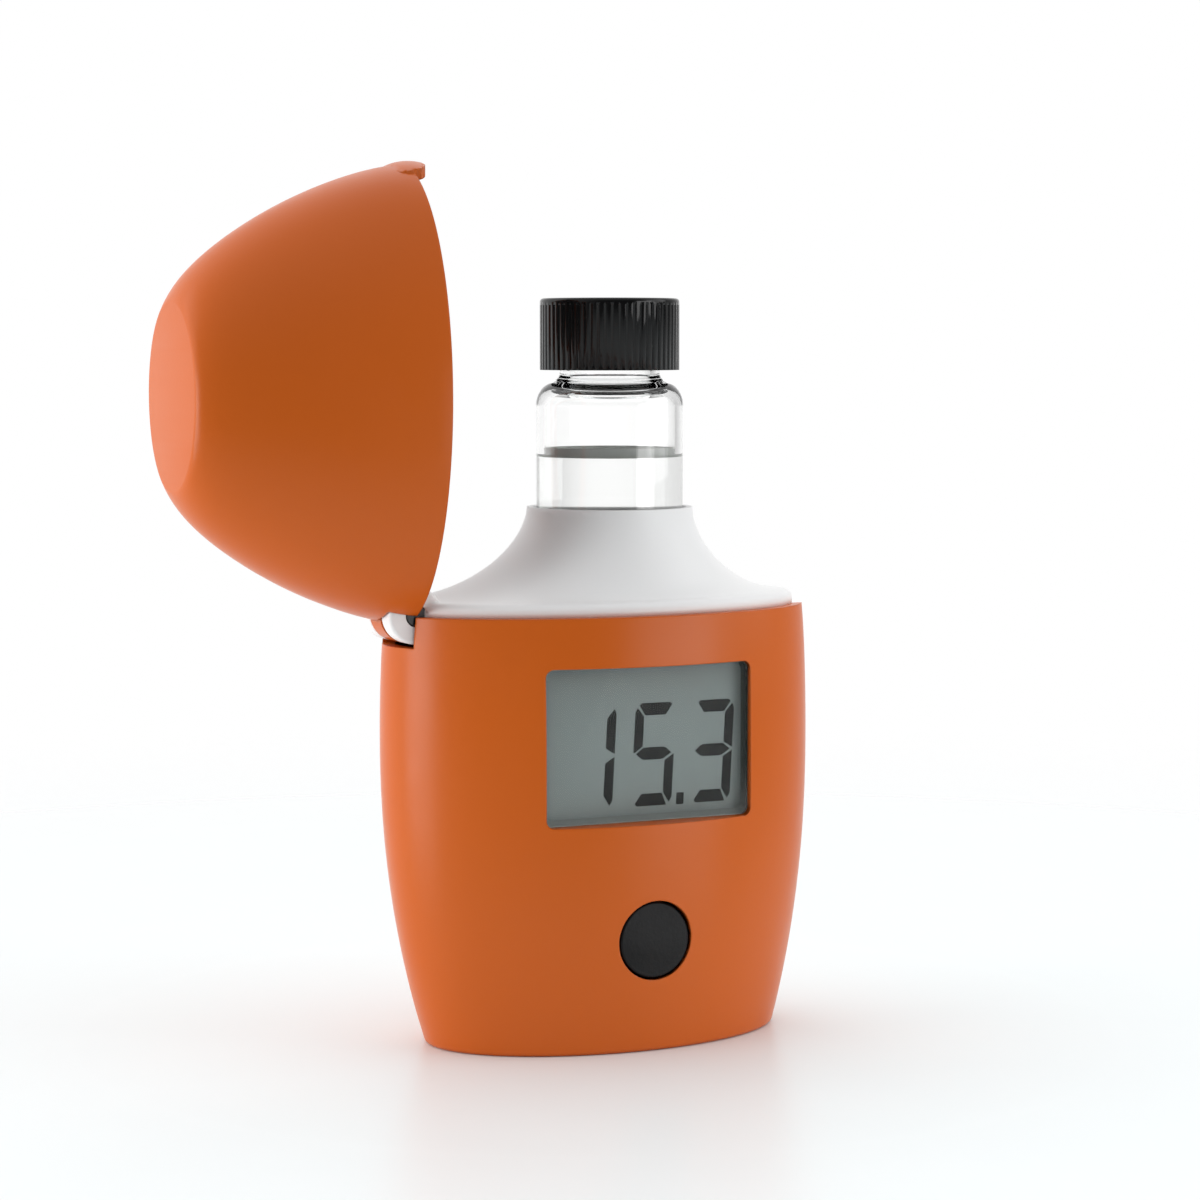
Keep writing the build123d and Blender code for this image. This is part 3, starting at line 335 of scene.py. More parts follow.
def map_range(tree, value, low, high, out_low, out_high):
    node = tree.nodes.new("ShaderNodeMapRange")
    tree.links.new(value, node.inputs["Value"])
    for label, number in (
        ("From Min", low), ("From Max", high), ("To Min", out_low), ("To Max", out_high)
    ):
        node.inputs[label].default_value = number
    return node.outputs["Result"]


def bump_node(tree, height, strength, distance):
    node = tree.nodes.new("ShaderNodeBump")
    node.inputs["Strength"].default_value = strength
    node.inputs["Distance"].default_value = distance
    tree.links.new(height, node.inputs["Height"])
    return node.outputs["Normal"]


def moulded_plastic(
    name, dark, light, rough, grain=0.25, grain_scale=3200.0, depth=0.03, specular=0.5, edge=0.0
):
    """depth is the grain's and edge is the rounding's radius, both in millimetres."""
    material, tree, shader = new_material(name)
    effect = tree.nodes.new("ShaderNodeGroup")
    effect.node_tree = moulded_surface
    effect.inputs["Grain Scale"].default_value = grain_scale
    tone = map_range(tree, effect.outputs["Drift"], 0.3, 0.7, 0.0, 1.0)
    tree.links.new(mix_colour(tree, tone, dark, light), shader.inputs["Base Color"])
    gloss = map_range(tree, effect.outputs["Smudge"], 0.0, 1.0, rough[0], rough[1])
    tree.links.new(gloss, shader.inputs["Roughness"])
    bump = bump_node(tree, effect.outputs["Grain"], grain, depth * MM)
    if edge:
        soft_edge = tree.nodes.new("ShaderNodeBevel")
        soft_edge.samples = 6
        soft_edge.inputs["Radius"].default_value = edge * MM
        tree.links.new(soft_edge.outputs["Normal"], bump.node.inputs["Normal"])
    tree.links.new(bump, shader.inputs["Normal"])
    shader.inputs["Specular IOR Level"].default_value = specular
    return material


orange = moulded_plastic(
    "orange_satin_plastic", (0.585, 0.112, 0.010), (0.625, 0.122, 0.012), rough=(0.28, 0.36),
    specular=0.24, edge=0.3,
)
white = moulded_plastic(
    "white_satin_plastic", (0.86, 0.865, 0.87), (0.90, 0.90, 0.90), rough=(0.38, 0.46),
    grain=0.15, edge=0.2,
)
liner_grey = moulded_plastic(
    "grey_liner_plastic", (0.30, 0.31, 0.32), (0.34, 0.345, 0.35), rough=(0.5, 0.6), grain=0.3
)
black_satin = moulded_plastic(
    "black_satin_plastic", (0.012, 0.012, 0.013), (0.018, 0.018, 0.019), rough=(0.3, 0.4)
)
button_black = moulded_plastic(
    "button_matt_plastic", (0.003, 0.003, 0.0035), (0.006, 0.006, 0.0065), rough=(0.34, 0.50),
    grain=0.7, grain_scale=2200.0, specular=0.2,
)
cap_black = moulded_plastic(
    "cap_gloss_plastic", (0.002, 0.002, 0.002), (0.003, 0.003, 0.0035), rough=(0.12, 0.2),
    grain=0.05, specular=0.3,
)
chip_black = moulded_plastic(
    "chip_plastic", (0.010, 0.010, 0.011), (0.016, 0.016, 0.017), rough=(0.55, 0.65), grain=0.5
)
cover_black = moulded_plastic(
    "cover_plastic", (0.012, 0.012, 0.013), (0.019, 0.019, 0.020), rough=(0.45, 0.55),
    grain=0.8, grain_scale=1800.0, depth=0.06,
)
soft_rubber = moulded_plastic(
    "soft_rubber", (0.010, 0.010, 0.010), (0.016, 0.016, 0.016), rough=(0.7, 0.85), grain=0.5
)
foam_white = moulded_plastic(
    "foam_liner", (0.62, 0.62, 0.58), (0.70, 0.70, 0.66), rough=(0.8, 0.9), grain=1.0,
    grain_scale=2500.0, depth=0.08,
)
lamp_resin = moulded_plastic(
    "lamp_resin", (0.55, 0.55, 0.50), (0.65, 0.65, 0.60), rough=(0.12, 0.2), grain=0.05
)
flex_film = moulded_plastic(
    "flex_film", (0.22, 0.09, 0.014), (0.30, 0.13, 0.02), rough=(0.3, 0.4), grain=0.1
)
print("plastics:", len(bpy.data.materials))

# %% [markdown]
# ## Metals
# The contacts, the screws and the battery's can are plated steel. Plating shows fine rolling
# marks, so the noise that drives the roughness is stretched along one direction.

# %% Metal materials
ROLLING = (1.0, 1.0, 0.06)


def plated_metal(name, colour, rough):
    material, tree, shader = new_material(name)
    place = tree.nodes.new("ShaderNodeTexCoord").outputs["Object"]
    mapping = tree.nodes.new("ShaderNodeMapping")
    mapping.inputs["Scale"].default_value = ROLLING
    tree.links.new(place, mapping.inputs["Vector"])
    marks = noise_node(tree, mapping.outputs["Vector"], 5000.0, 2.0, 0.6)
    stain = noise_node(tree, place, 150.0, 4.0, 0.6)
    tree.links.new(
        mix_colour(tree, stain, tuple(0.8 * c for c in colour), colour), shader.inputs["Base Color"]
    )
    tree.links.new(map_range(tree, marks, 0.3, 0.7, rough[0], rough[1]), shader.inputs["Roughness"])
    tree.links.new(bump_node(tree, marks, 0.15, 0.00002), shader.inputs["Normal"])
    shader.inputs["Metallic"].default_value = 1.0
    return material


nickel = plated_metal("nickel_plate", (0.66, 0.64, 0.58), (0.18, 0.34))
zinc = plated_metal("zinc_plate", (0.56, 0.57, 0.58), (0.25, 0.42))
cell_can = plated_metal("cell_can", (0.50, 0.50, 0.51), (0.22, 0.36))
print("metals:", nickel.name, zinc.name, cell_can.name)

# %% [markdown]
# ## Circuit boards
# A board is green lacquer over copper. The lacquer stands a little higher where a track runs, so
# the mortar lines of a brick pattern make tracks in a slightly lighter green.

# %% Circuit board material
def board_material():
    material, tree, shader = new_material("circuit_board_lacquer")
    place = tree.nodes.new("ShaderNodeTexCoord").outputs["Object"]
    brick = tree.nodes.new("ShaderNodeTexBrick")
    mapping = tree.nodes.new("ShaderNodeMapping")
    mapping.inputs["Rotation"].default_value = (math.pi / 2, 0, 0)
    tree.links.new(place, mapping.inputs["Vector"])
    tree.links.new(mapping.outputs["Vector"], brick.inputs["Vector"])
    brick.inputs["Scale"].default_value = 420.0
    brick.inputs["Mortar Size"].default_value = 0.06
    brick.inputs["Color1"].default_value = (0.006, 0.060, 0.024, 1)
    brick.inputs["Color2"].default_value = (0.008, 0.075, 0.030, 1)
    brick.inputs["Mortar"].default_value = (0.020, 0.150, 0.060, 1)
    tree.links.new(brick.outputs["Color"], shader.inputs["Base Color"])
    tree.links.new(bump_node(tree, brick.outputs["Fac"], 0.3, 0.00003), shader.inputs["Normal"])
    shader.inputs["Roughness"].default_value = 0.3
    shader.inputs["Coat Weight"].default_value = 0.4
    return material


board_green = board_material()
print("board:", board_green.name)

# %% [markdown]
# ## Glass, water and the clear pane
# Real glass bends light, so it is a transmitting shader with glass's own index of refraction. The
# water in the cuvette is another, weaker one. The display's window is thin and flat, and only its
# gloss shows.

# %% Clear materials
GLASS_IOR, WATER_IOR = 1.47, 1.333


def clear_material(name, colour, ior, smear=0.04):
    """smear is the roughness where fingers have touched it."""
    material, tree, shader = new_material(name)
    place = tree.nodes.new("ShaderNodeTexCoord").outputs["Object"]
    marks = noise_node(tree, place, 60.0, 4.0, 0.6)
    tree.links.new(map_range(tree, marks, 0.5, 0.8, 0.0, smear), shader.inputs["Roughness"])
    shader.inputs["Base Color"].default_value = (*colour, 1)
    shader.inputs["IOR"].default_value = ior
    shader.inputs["Transmission Weight"].default_value = 1.0
    return material


cuvette_clear = clear_material("cuvette_glass", (0.998, 1.0, 0.998), GLASS_IOR)
pane_clear = clear_material("window_pane", (0.93, 0.95, 0.945), 1.12, 0.02)
filter_blue = clear_material("filter_glass", (0.25, 0.40, 0.85), 1.5)
water = clear_material("sample_water", (0.998, 1.0, 0.996), WATER_IOR, 0.01)
print("clear:", cuvette_clear.name, pane_clear.name, filter_blue.name, water.name)

# %% [markdown]
# ## The display's face
# A reflective liquid-crystal display is a dull grey-green mirror. Towards its edges, where the
# frame shades it, it is darker, and that shade is painted into its colour. The painted shade is
# worked out from the distance to the middle, across and up, in Object coordinates.

# %% Display material
LCD_MID_HIGH = 39.95
SHADE_ACROSS, SHADE_UP = (12.0 * MM, 14.6 * MM), (7.6 * MM, 9.8 * MM)


def lcd_material():
    material, tree, shader = new_material("lcd_face")
    place = tree.nodes.new("ShaderNodeTexCoord").outputs["Object"]
    split = tree.nodes.new("ShaderNodeSeparateXYZ")
    tree.links.new(place, split.inputs["Vector"])
    across = math_node(tree, "ABSOLUTE", split.outputs["X"])
    lift = math_node(tree, "SUBTRACT", split.outputs["Z"], LCD_MID_HIGH * MM)
    up = math_node(tree, "ABSOLUTE", lift)
    edge_x = map_range(tree, across, *SHADE_ACROSS, 0.0, 1.0)
    edge_z = map_range(tree, up, *SHADE_UP, 0.0, 1.0)
    shade = math_node(tree, "MAXIMUM", edge_x, edge_z)
    shade = math_node(tree, "POWER", shade, 2.0)
    speck = noise_node(tree, place, 2500.0, 2.0, 0.5)
    face = mix_colour(tree, speck, (0.300, 0.345, 0.338), (0.324, 0.366, 0.358))
    # painted shade: the colour darkens towards the edges, as if the frame shaded it
    tree.links.new(
        mix_colour(tree, shade, face, (0.230, 0.265, 0.260)), shader.inputs["Base Color"]
    )
    shader.inputs["Roughness"].default_value = 0.45
    shader.inputs["Specular IOR Level"].default_value = 0.15
    return material


lcd_face = lcd_material()
print("display's face:", lcd_face.name)

# %% [markdown]
# The walls of the tray around the display are seen at a steep angle through the pane. They are
# dark, and greyer near the lower edge, where light reaches in; that light is painted into their
# colour. The digits are near black and dull.

# %% Materials of the tray and the digits
TRAY_PAINTED_LIGHT = (-2.0 * MM, -9.6 * MM)


def tray_material():
    material, tree, shader = new_material("tray_walls")
    place = tree.nodes.new("ShaderNodeTexCoord").outputs["Object"]
    split = tree.nodes.new("ShaderNodeSeparateXYZ")
    tree.links.new(place, split.inputs["Vector"])
    lift = math_node(tree, "SUBTRACT", split.outputs["Z"], LCD_MID_HIGH * MM)
    # painted light: the walls turn greyer towards their lower edge
    painted_light_share = map_range(tree, lift, *TRAY_PAINTED_LIGHT, 0.0, 1.0)
    painted_light_share = math_node(tree, "POWER", painted_light_share, 2.0, clamp=True)
    speck = noise_node(tree, place, 900.0, 2.0, 0.5)
    wall = mix_colour(tree, speck, (0.018, 0.030, 0.026), (0.026, 0.040, 0.035))
    tree.links.new(mix_colour(tree, painted_light_share, wall, (0.30, 0.32, 0.31)), shader.inputs["Base Color"])
    shader.inputs["Roughness"].default_value = 0.3
    return material


tray_dark = tray_material()
digit_black, digit_tree, digit_shader = new_material("lcd_segment")
digit_place = digit_tree.nodes.new("ShaderNodeTexCoord").outputs["Object"]
digit_speck = noise_node(digit_tree, digit_place, 3000.0)
digit_tree.links.new(
    mix_colour(digit_tree, digit_speck, (0.012, 0.013, 0.013), (0.018, 0.019, 0.019)),
    digit_shader.inputs["Base Color"],
)
digit_shader.inputs["Roughness"].default_value = 0.5
digit_shader.inputs["Specular IOR Level"].default_value = 0.1
print("tray and digits:", tray_dark.name, digit_black.name)

# %% [markdown]
# ## Finishes on the CAD nodes
# Each CAD node takes its finish by its name. The nodes keep their own shapes.

# %% Assign the finishes
FINISHES = {
    "body_shell": orange, "lid_shell": orange, "cuvette_holder": white, "lid_liner": liner_grey,
    "hinge_pin": black_satin, "well_seal_ring": soft_rubber, "display_window": pane_clear,
    "lcd_bezel": tray_dark, "lcd_panel": lcd_face, "lcd_connectors": soft_rubber,
    "main_board": board_green, "board_chips": chip_black, "button_cap": button_black,
    "switch_plunger": black_satin, "button_switch": chip_black, "led_lamp": lamp_resin,
    "light_filter": filter_blue, "photodiode": chip_black, "detector_board": board_green,
    "detector_flex": flex_film, "battery_cell": cell_can, "battery_spring": nickel,
    "battery_contact": nickel, "contact_leaf": nickel, "battery_cover": cover_black,
    "cover_ring": soft_rubber, "cuvette_glass": cuvette_clear, "sample_liquid": water,
    "cap_liner": foam_white, "cuvette_cap": cap_black, "chassis_screws": zinc,
    "board_screws": zinc, "detector_screws": zinc,
}
for node, material in FINISHES.items():
    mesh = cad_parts[node].data
    mesh.materials.clear()
    mesh.materials.append(material)
missing = [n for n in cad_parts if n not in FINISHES]
print("finished", len(FINISHES), "nodes; without a finish:", missing)

# %% [markdown]
# ## Smooth skins for the big mouldings
# The CAD export is a net of loose triangles, and on a satin surface each triangle would catch the
# light by itself. A copy of the mesh with its doubles merged can be shaded smooth, with the real
# edges kept sharp by their angle. The copy then stands for the node.

# %% Skins
SKIN_ANGLE = math.radians(28)


def smooth_skin(node, name, material, body):
    """A smooth copy of a CAD node, without the frame's marks, that stands for it."""
    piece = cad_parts[node].copy()
    piece.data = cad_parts[node].data.copy()
    piece.name = name
    piece.parent = None
    for key in list(piece.keys()):
        del piece[key]
    scene.collection.objects.link(piece)
    pick_only(piece)
    bpy.ops.object.mode_set(mode="EDIT")
    bpy.ops.mesh.select_all(action="SELECT")
    bpy.ops.mesh.remove_doubles(threshold=0.000001)
    bpy.ops.object.mode_set(mode="OBJECT")
    bpy.ops.object.shade_smooth_by_angle(angle=SKIN_ANGLE)
    piece.data.materials.clear()
    piece.data.materials.append(material)
    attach(piece, body)
    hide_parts(node)
    print(name, "has", len(piece.data.polygons), "faces")
    return piece


shell_skin = smooth_skin("body_shell", "shell_skin", orange, "housing")
lid_skin = smooth_skin("lid_shell", "lid_skin", orange, "lid")
holder_skin = smooth_skin("cuvette_holder", "holder_skin", white, "housing")
smooth_skin("lid_liner", "liner_skin", liner_grey, "lid")
smooth_skin("cuvette_cap", "cap_skin", cap_black, "cap")
smooth_skin("button_cap", "button_skin", button_black, "button")

# %% [markdown]
# Next to a cut, such as the window, the triangles of a curved wall are long and thin, and the
# averaged normals there make spikes of light. The walls follow formulas, though: ovals whose half
# sizes change with height. The slope of such a formula is the true normal, so every corner that
# lies on the form gets it, and the others keep their own.

# %% Normals from the form itself
def form_normals(piece, share, near=0.08, turn=18):
    """share(x, y, z) in millimetres is 1 on the form, and less inside it.

    near is how far from the form a corner may lie, in millimetres, and turn is how many degrees
    a face may be turned away from the form's normal.
    """
    mesh = piece.data
    least = math.cos(math.radians(turn))
    step = 0.01
    found = {}
    for vertex in mesh.vertices:
        x, y, z = (v / MM for v in vertex.co)
        here = share(x, y, z)
        if here is None:
            continue
        slope = Vector((
            share(x + step, y, z) - here,
            share(x, y + step, z) - here,
            (share(x, y, z + step) or here) - here,
        )) / step
        if slope.length and abs(here - 1) / slope.length < near:
            found[vertex.index] = slope.normalized()
    normals = []
    for face in mesh.polygons:
        for index in face.vertices:
            way = found.get(index)
            fits = way is not None and way.dot(face.normal) > least
            normals.append(way if fits else (0.0, 0.0, 0.0))
    mesh.normals_split_custom_set(normals)
    print(piece.name, "has", len(found), "points on its form, of", len(mesh.vertices))


print("skins for", [skin.name for skin in (shell_skin, lid_skin, holder_skin)])

# %% [markdown]
# The body's oval is widest at the belly. It narrows towards the base and, less, towards the rim,
# and its middle leans a little forwards near the base.

# %% The body's form
BASE_HALF, BELLY_HALF, RIM_HALF = (24.6, 15.1), (30.2, 18.0), (29.6, 17.2)
BELLY_HIGH, SHELL_HIGH = 40.0, 56.5
BASE_LEAN, LEAN_POWER = 1.2, 1.5
TAPER_BELOW, TAPER_ABOVE = 2.2, 2


def body_share(x, y, z):
    if not 0.5 < z < SHELL_HIGH + 0.05:
        return None
    below = max(BELLY_HIGH - z, 0) / BELLY_HIGH
    above = max(z - BELLY_HIGH, 0) / (SHELL_HIGH - BELLY_HIGH)
    wide, deep = (
        belly - (belly - base) * below ** TAPER_BELOW - (belly - rim) * above ** TAPER_ABOVE
        for base, belly, rim in zip(BASE_HALF, BELLY_HALF, RIM_HALF)
    )
    return math.hypot(x / wide, (y + BASE_LEAN * below ** LEAN_POWER) / deep)


form_normals(shell_skin, body_share)

# %% [markdown]
# The lid's formula is written for the closed lid, so a point of the open lid is first swung back
# about the hinge. Near its flat top the moulding leaves the formula, and keeps its own normals.

# %% The lid's form
HINGE = (-27.95, 56.7)
LID_BASE, LID_HIGH = 56.7, 30.7
LID_RIM_HALF, LID_TOP_HALF = (29.35, 16.95), (11.9, 9.1)
LID_BULGE, LID_SHOULDER = 1.43, 0.7


def lid_share(x, y, z):
    closed_x = HINGE[0] + (z - HINGE[1])
    closed_z = HINGE[1] - (x - HINGE[0])
    up = (closed_z - LID_BASE) / LID_HIGH
    if not -0.001 < up < 0.8:
        return None
    fall = (1 - max(up, 0) ** LID_BULGE) ** LID_SHOULDER
    wide, deep = (top + (rim - top) * fall for rim, top in zip(LID_RIM_HALF, LID_TOP_HALF))
    return math.hypot(closed_x / wide, y / deep)


form_normals(lid_skin, lid_share, near=0.1)

# %% [markdown]
# The holder's collar rises from the oval lip to the round neck in one hollow sweep, like a bell's
# mouth, and its middle moves across to the cuvette's axis on the way.

# %% The collar's form
LIP_HALF = (27.0, 14.6)
LIP_HIGH, NECK_HIGH = 58.3, 69.8
NECK_HALF = 10.95
COLLAR_FLARE = 1.75
CUVETTE_X = 1.9


def collar_share(x, y, z):
    up = (z - LIP_HIGH) / (NECK_HIGH - LIP_HIGH)
    if not 0.0 < up < 0.97:
        return None
    share = 1 - (1 - (1 - up) ** COLLAR_FLARE) ** (1 / COLLAR_FLARE)
    wide, deep = (NECK_HALF + (lip - NECK_HALF) * share for lip in LIP_HALF)
    return math.hypot((x - CUVETTE_X * (1 - share)) / wide, y / deep)


form_normals(holder_skin, collar_share, near=0.15, turn=25)

# %% [markdown]
# ## The display's window
# A thick clear pane closes the opening. Behind it a dark tray with straight sides holds the glass
# of the display about a millimetre deeper, and that depth is what shows as a dark wall on the far
# side when one looks in at an angle. Each of the three is a flat plate with round corners, pushed
# backwards.

# %% A plate with round corners
def rounded_plate(name, half_wide, low, high, front, corner):
    """Edit mode is left on, with the plate's face selected. It faces the viewer, along -Y."""
    bpy.ops.object.select_all(action="DESELECT")
    bpy.ops.mesh.primitive_plane_add(
        size=1, rotation=(math.pi / 2, 0, 0), location=(0, front * MM, (low + high) / 2 * MM)
    )
    piece = bpy.context.object
    piece.name = name
    piece.scale = (2 * half_wide * MM, (high - low) * MM, 1)
    bpy.ops.object.transform_apply(location=False, rotation=True, scale=True)
    bpy.ops.object.mode_set(mode="EDIT")
    bpy.ops.mesh.select_all(action="SELECT")
    bpy.ops.mesh.bevel(offset=corner * MM, segments=8, affect="VERTICES")
    bpy.ops.mesh.select_all(action="SELECT")
    return piece


def select_at_front(piece, front, slack=0.01):
    """Select the edges that lie in the plane y = front."""
    bpy.ops.mesh.select_all(action="DESELECT")
    bpy.ops.object.mode_set(mode="OBJECT")
    mesh = piece.data
    at = [abs((piece.matrix_world @ v.co).y / MM - front) < slack for v in mesh.vertices]
    for edge in mesh.edges:
        edge.select = at[edge.vertices[0]] and at[edge.vertices[1]]
    bpy.ops.object.mode_set(mode="EDIT")
    bpy.ops.mesh.select_mode(type="EDGE")


PANE_BOX = [[v / MM for v in corner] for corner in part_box("display_window")]
PANE_FRONT, PANE_BACK = PANE_BOX[0][1], PANE_BOX[1][1]
WINDOW_HALF, WINDOW_LOW, WINDOW_HIGH = PANE_BOX[1][0], PANE_BOX[0][2], PANE_BOX[1][2]
print("pane from", round(PANE_FRONT, 2), "to", round(PANE_BACK, 2), "mm")

# %% [markdown]
# A cut pane has its front edge eased, or it would chip and scratch. The plate is pushed back to the
# pane's thickness, and only the edges in its front plane are bevelled.

# %% The pane, with its front edge eased
EDGE_EASE = 0.28
window_pane = rounded_plate("window_pane", WINDOW_HALF, WINDOW_LOW, WINDOW_HIGH, PANE_FRONT, 1.0)
bpy.ops.mesh.extrude_region_move(
    TRANSFORM_OT_translate={"value": (0, (PANE_BACK - PANE_FRONT) * MM, 0)}
)
select_at_front(window_pane, PANE_FRONT)
bpy.ops.mesh.bevel(offset=EDGE_EASE * MM, segments=3, affect="EDGES")
finish_piece(window_pane, pane_clear, "housing", angle=40)
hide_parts("display_window")

# %% [markdown]
# The tray is drawn from its front rim: inset for the rim, pushed back for the walls, and then the
# outer edge pulled back as well, so that it is a closed form.

# %% The tray behind the pane
TRAY_DEPTH, TRAY_RIM, TRAY_BACK = 1.2, 0.12, 2.5
FLOOR_HALF_WIDE, FLOOR_HALF_HIGH, FLOOR_RISE = 14.42, 9.55, 0.16
lcd_tray = rounded_plate("lcd_tray", WINDOW_HALF, WINDOW_LOW, WINDOW_HIGH, PANE_BACK + 0.01, 1.0)
bpy.ops.mesh.inset(thickness=TRAY_RIM * MM)
bpy.ops.mesh.extrude_region_move(
    TRANSFORM_OT_translate={"value": (0, TRAY_DEPTH * MM, FLOOR_RISE * MM)}
)
bpy.ops.transform.resize(value=(
    FLOOR_HALF_WIDE / (WINDOW_HALF - TRAY_RIM), 1,
    2 * FLOOR_HALF_HIGH / (WINDOW_HIGH - WINDOW_LOW - 2 * TRAY_RIM),
))
bpy.ops.mesh.select_all(action="DESELECT")
bpy.ops.mesh.select_mode(type="EDGE")
bpy.ops.mesh.select_non_manifold()
bpy.ops.mesh.extrude_region_move(TRANSFORM_OT_translate={"value": (0, TRAY_BACK * MM, 0)})
bpy.ops.mesh.edge_face_add()
finish_piece(lcd_tray, tray_dark, "housing", angle=30)
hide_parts("lcd_bezel")

# %% [markdown]
# The display's own glass is a thin plate on the floor of the tray. It stands a few hundredths of a
# millimetre proud of the floor, so that the two never lie in one plane.

# %% The glass of the display, on the tray's floor
LCD_PROUD, LCD_THICK, LCD_PLAY = 0.04, 0.06, 0.02
LCD_FRONT = PANE_BACK + TRAY_DEPTH - LCD_PROUD
LCD_MIDDLE = (WINDOW_LOW + WINDOW_HIGH) / 2 + FLOOR_RISE
lcd_plate = rounded_plate(
    "lcd_plate", FLOOR_HALF_WIDE - LCD_PLAY, LCD_MIDDLE - FLOOR_HALF_HIGH + LCD_PLAY,
    LCD_MIDDLE + FLOOR_HALF_HIGH - LCD_PLAY, LCD_FRONT, 0.8,
)
bpy.ops.mesh.extrude_region_move(TRANSFORM_OT_translate={"value": (0, LCD_THICK * MM, 0)})
finish_piece(lcd_plate, lcd_face, "housing", angle=30)
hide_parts("lcd_panel")

# %% [markdown]
# ## The glass cuvette
# The real one is a short blown tube with a rounded shoulder and a narrow neck. It is a shape turned
# about one axis, so a ring is drawn up the outside, over the lip and down the inside, and the
# corners that the glass rounds by itself are bevelled afterwards.

# %% Glass
GLASS_OUTSIDE = [(9.7, 33.0), (9.7, 85.4), (6.6, 86.7), (6.6, 94.9)]
GLASS_INSIDE = [(5.4, 94.9), (5.4, 85.7), (8.7, 84.4), (8.7, 34.4)]
GLASS_ROUNDINGS = [  # the corner, how far it is rounded, and in how many steps
    ((9.7, 85.4), 2.0, 8), ((6.6, 86.7), 0.7, 4), ((8.7, 84.4), 1.4, 6), ((5.4, 85.7), 0.5, 3),
    ((9.7, 33.0), 1.2, 5), ((8.7, 34.4), 1.0, 5), ((6.6, 94.9), 0.3, 3), ((5.4, 94.9), 0.3, 3),
]


def ring_edges(piece, radius, height, slack=0.02):
    """Select the whole ring of edges at this radius and height, in edit mode."""
    bpy.ops.mesh.select_all(action="DESELECT")
    bpy.ops.object.mode_set(mode="OBJECT")
    centre = piece.location
    mesh = piece.data
    hit = set()
    for vertex in mesh.vertices:
        place = piece.matrix_world @ vertex.co
        if abs(place.z / MM - height) > slack:
            continue
        reach = math.hypot(place.x - centre.x, place.y - centre.y) / MM
        if abs(reach - radius) < slack:
            hit.add(vertex.index)
    for edge in mesh.edges:
        if edge.vertices[0] in hit and edge.vertices[1] in hit:
            edge.select = True
    bpy.ops.object.mode_set(mode="EDIT")
    bpy.ops.mesh.select_mode(type="EDGE")


def turned_glass():
    piece = start_circle("cuvette_body", CUVETTE_X, 0, GLASS_OUTSIDE[0][1], GLASS_OUTSIDE[0][0])
    now = GLASS_OUTSIDE[0]
    for then in GLASS_OUTSIDE[1:] + GLASS_INSIDE:
        now = draw_ring(now, then)
    bpy.ops.mesh.edge_face_add()
    ring_edges(piece, *GLASS_OUTSIDE[0])
    bpy.ops.mesh.edge_face_add()
    for (radius, height), by, steps in GLASS_ROUNDINGS:
        ring_edges(piece, radius, height)
        bpy.ops.mesh.bevel(offset=by * MM, segments=steps, affect="EDGES", offset_type="OFFSET")
    return piece


cuvette_body = finish_piece(turned_glass(), cuvette_clear, "cuvette")
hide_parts("cuvette_glass")

# %% [markdown]
# ## The sample
# The sample is clear water that ends some way below the cuvette's shoulder. Where its surface meets
# the glass it climbs a little, and that ring gathers light from everywhere, so it shows as a soft
# grey-green band. The water is one turned form, and the ring that climbs the wall is another on
# top of it, whose grey-green colour is painted light that stands in for the light the ring gathers.

# %% Sample and the band where it meets the glass
WATER_TOP = 76.75
WATER_RADIUS = 8.71
SAMPLE = [(8.4, 34.45), (WATER_RADIUS, 35.3), (WATER_RADIUS, WATER_TOP)]
BAND = [
    (WATER_RADIUS - 0.02, WATER_TOP - 0.35), (WATER_RADIUS - 0.02, WATER_TOP + 0.9),
    (8.55, WATER_TOP + 0.5), (8.3, WATER_TOP + 0.2), (7.9, WATER_TOP + 0.05),
    (7.9, WATER_TOP - 0.3),
]


def turned_sample():
    piece = start_circle("sample_water_body", CUVETTE_X, 0, SAMPLE[0][1], SAMPLE[0][0])
    bpy.ops.mesh.edge_face_add()
    bpy.ops.mesh.select_all(action="DESELECT")
    ring_edges(piece, *SAMPLE[0])
    now = SAMPLE[0]
    for then in SAMPLE[1:]:
        now = draw_ring(now, then)
    bpy.ops.mesh.edge_face_add()
    return piece


def turned_band():
    piece = start_circle("meniscus_band", CUVETTE_X, 0, BAND[0][1], BAND[0][0])
    now = BAND[0]
    for then in BAND[1:] + BAND[:1]:
        now = draw_ring(now, then)
    return piece


def band_material():
    material, tree, shader = new_material("meniscus_painted_light")
    place = tree.nodes.new("ShaderNodeTexCoord").outputs["Object"]
    ripple = noise_node(tree, place, 300.0, 3.0, 0.5)
    # painted light: a pale grey-green colour stands in for the light the ring gathers
    band = mix_colour(tree, ripple, (0.66, 0.70, 0.66), (0.90, 0.93, 0.90))
    tree.links.new(band, shader.inputs["Base Color"])
    shader.inputs["Roughness"].default_value = 0.2
    shader.inputs["IOR"].default_value = WATER_IOR
    shader.inputs["Transmission Weight"].default_value = 0.30
    return material


sample_body = finish_piece(turned_sample(), water, "cuvette", angle=50)
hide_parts("sample_liquid")
finish_piece(turned_band(), band_material(), "cuvette", angle=60)

# %% [markdown]
# ## The thread on the glass neck
# The cap screws onto a rounded glass thread. It is a small circle that is carried round the neck
# while it climbs. The spin operator only turns, and the Screw modifier turns and lifts at once, so
# the modifier draws it. Half of the circle stays inside the glass.

# %% Thread
THREAD_RADIUS, THREAD_REACH, THREAD_LOW = 0.42, 6.62, 88.1
THREAD_PITCH, THREAD_TURNS, THREAD_STEPS = 2.117, 1.6, 150


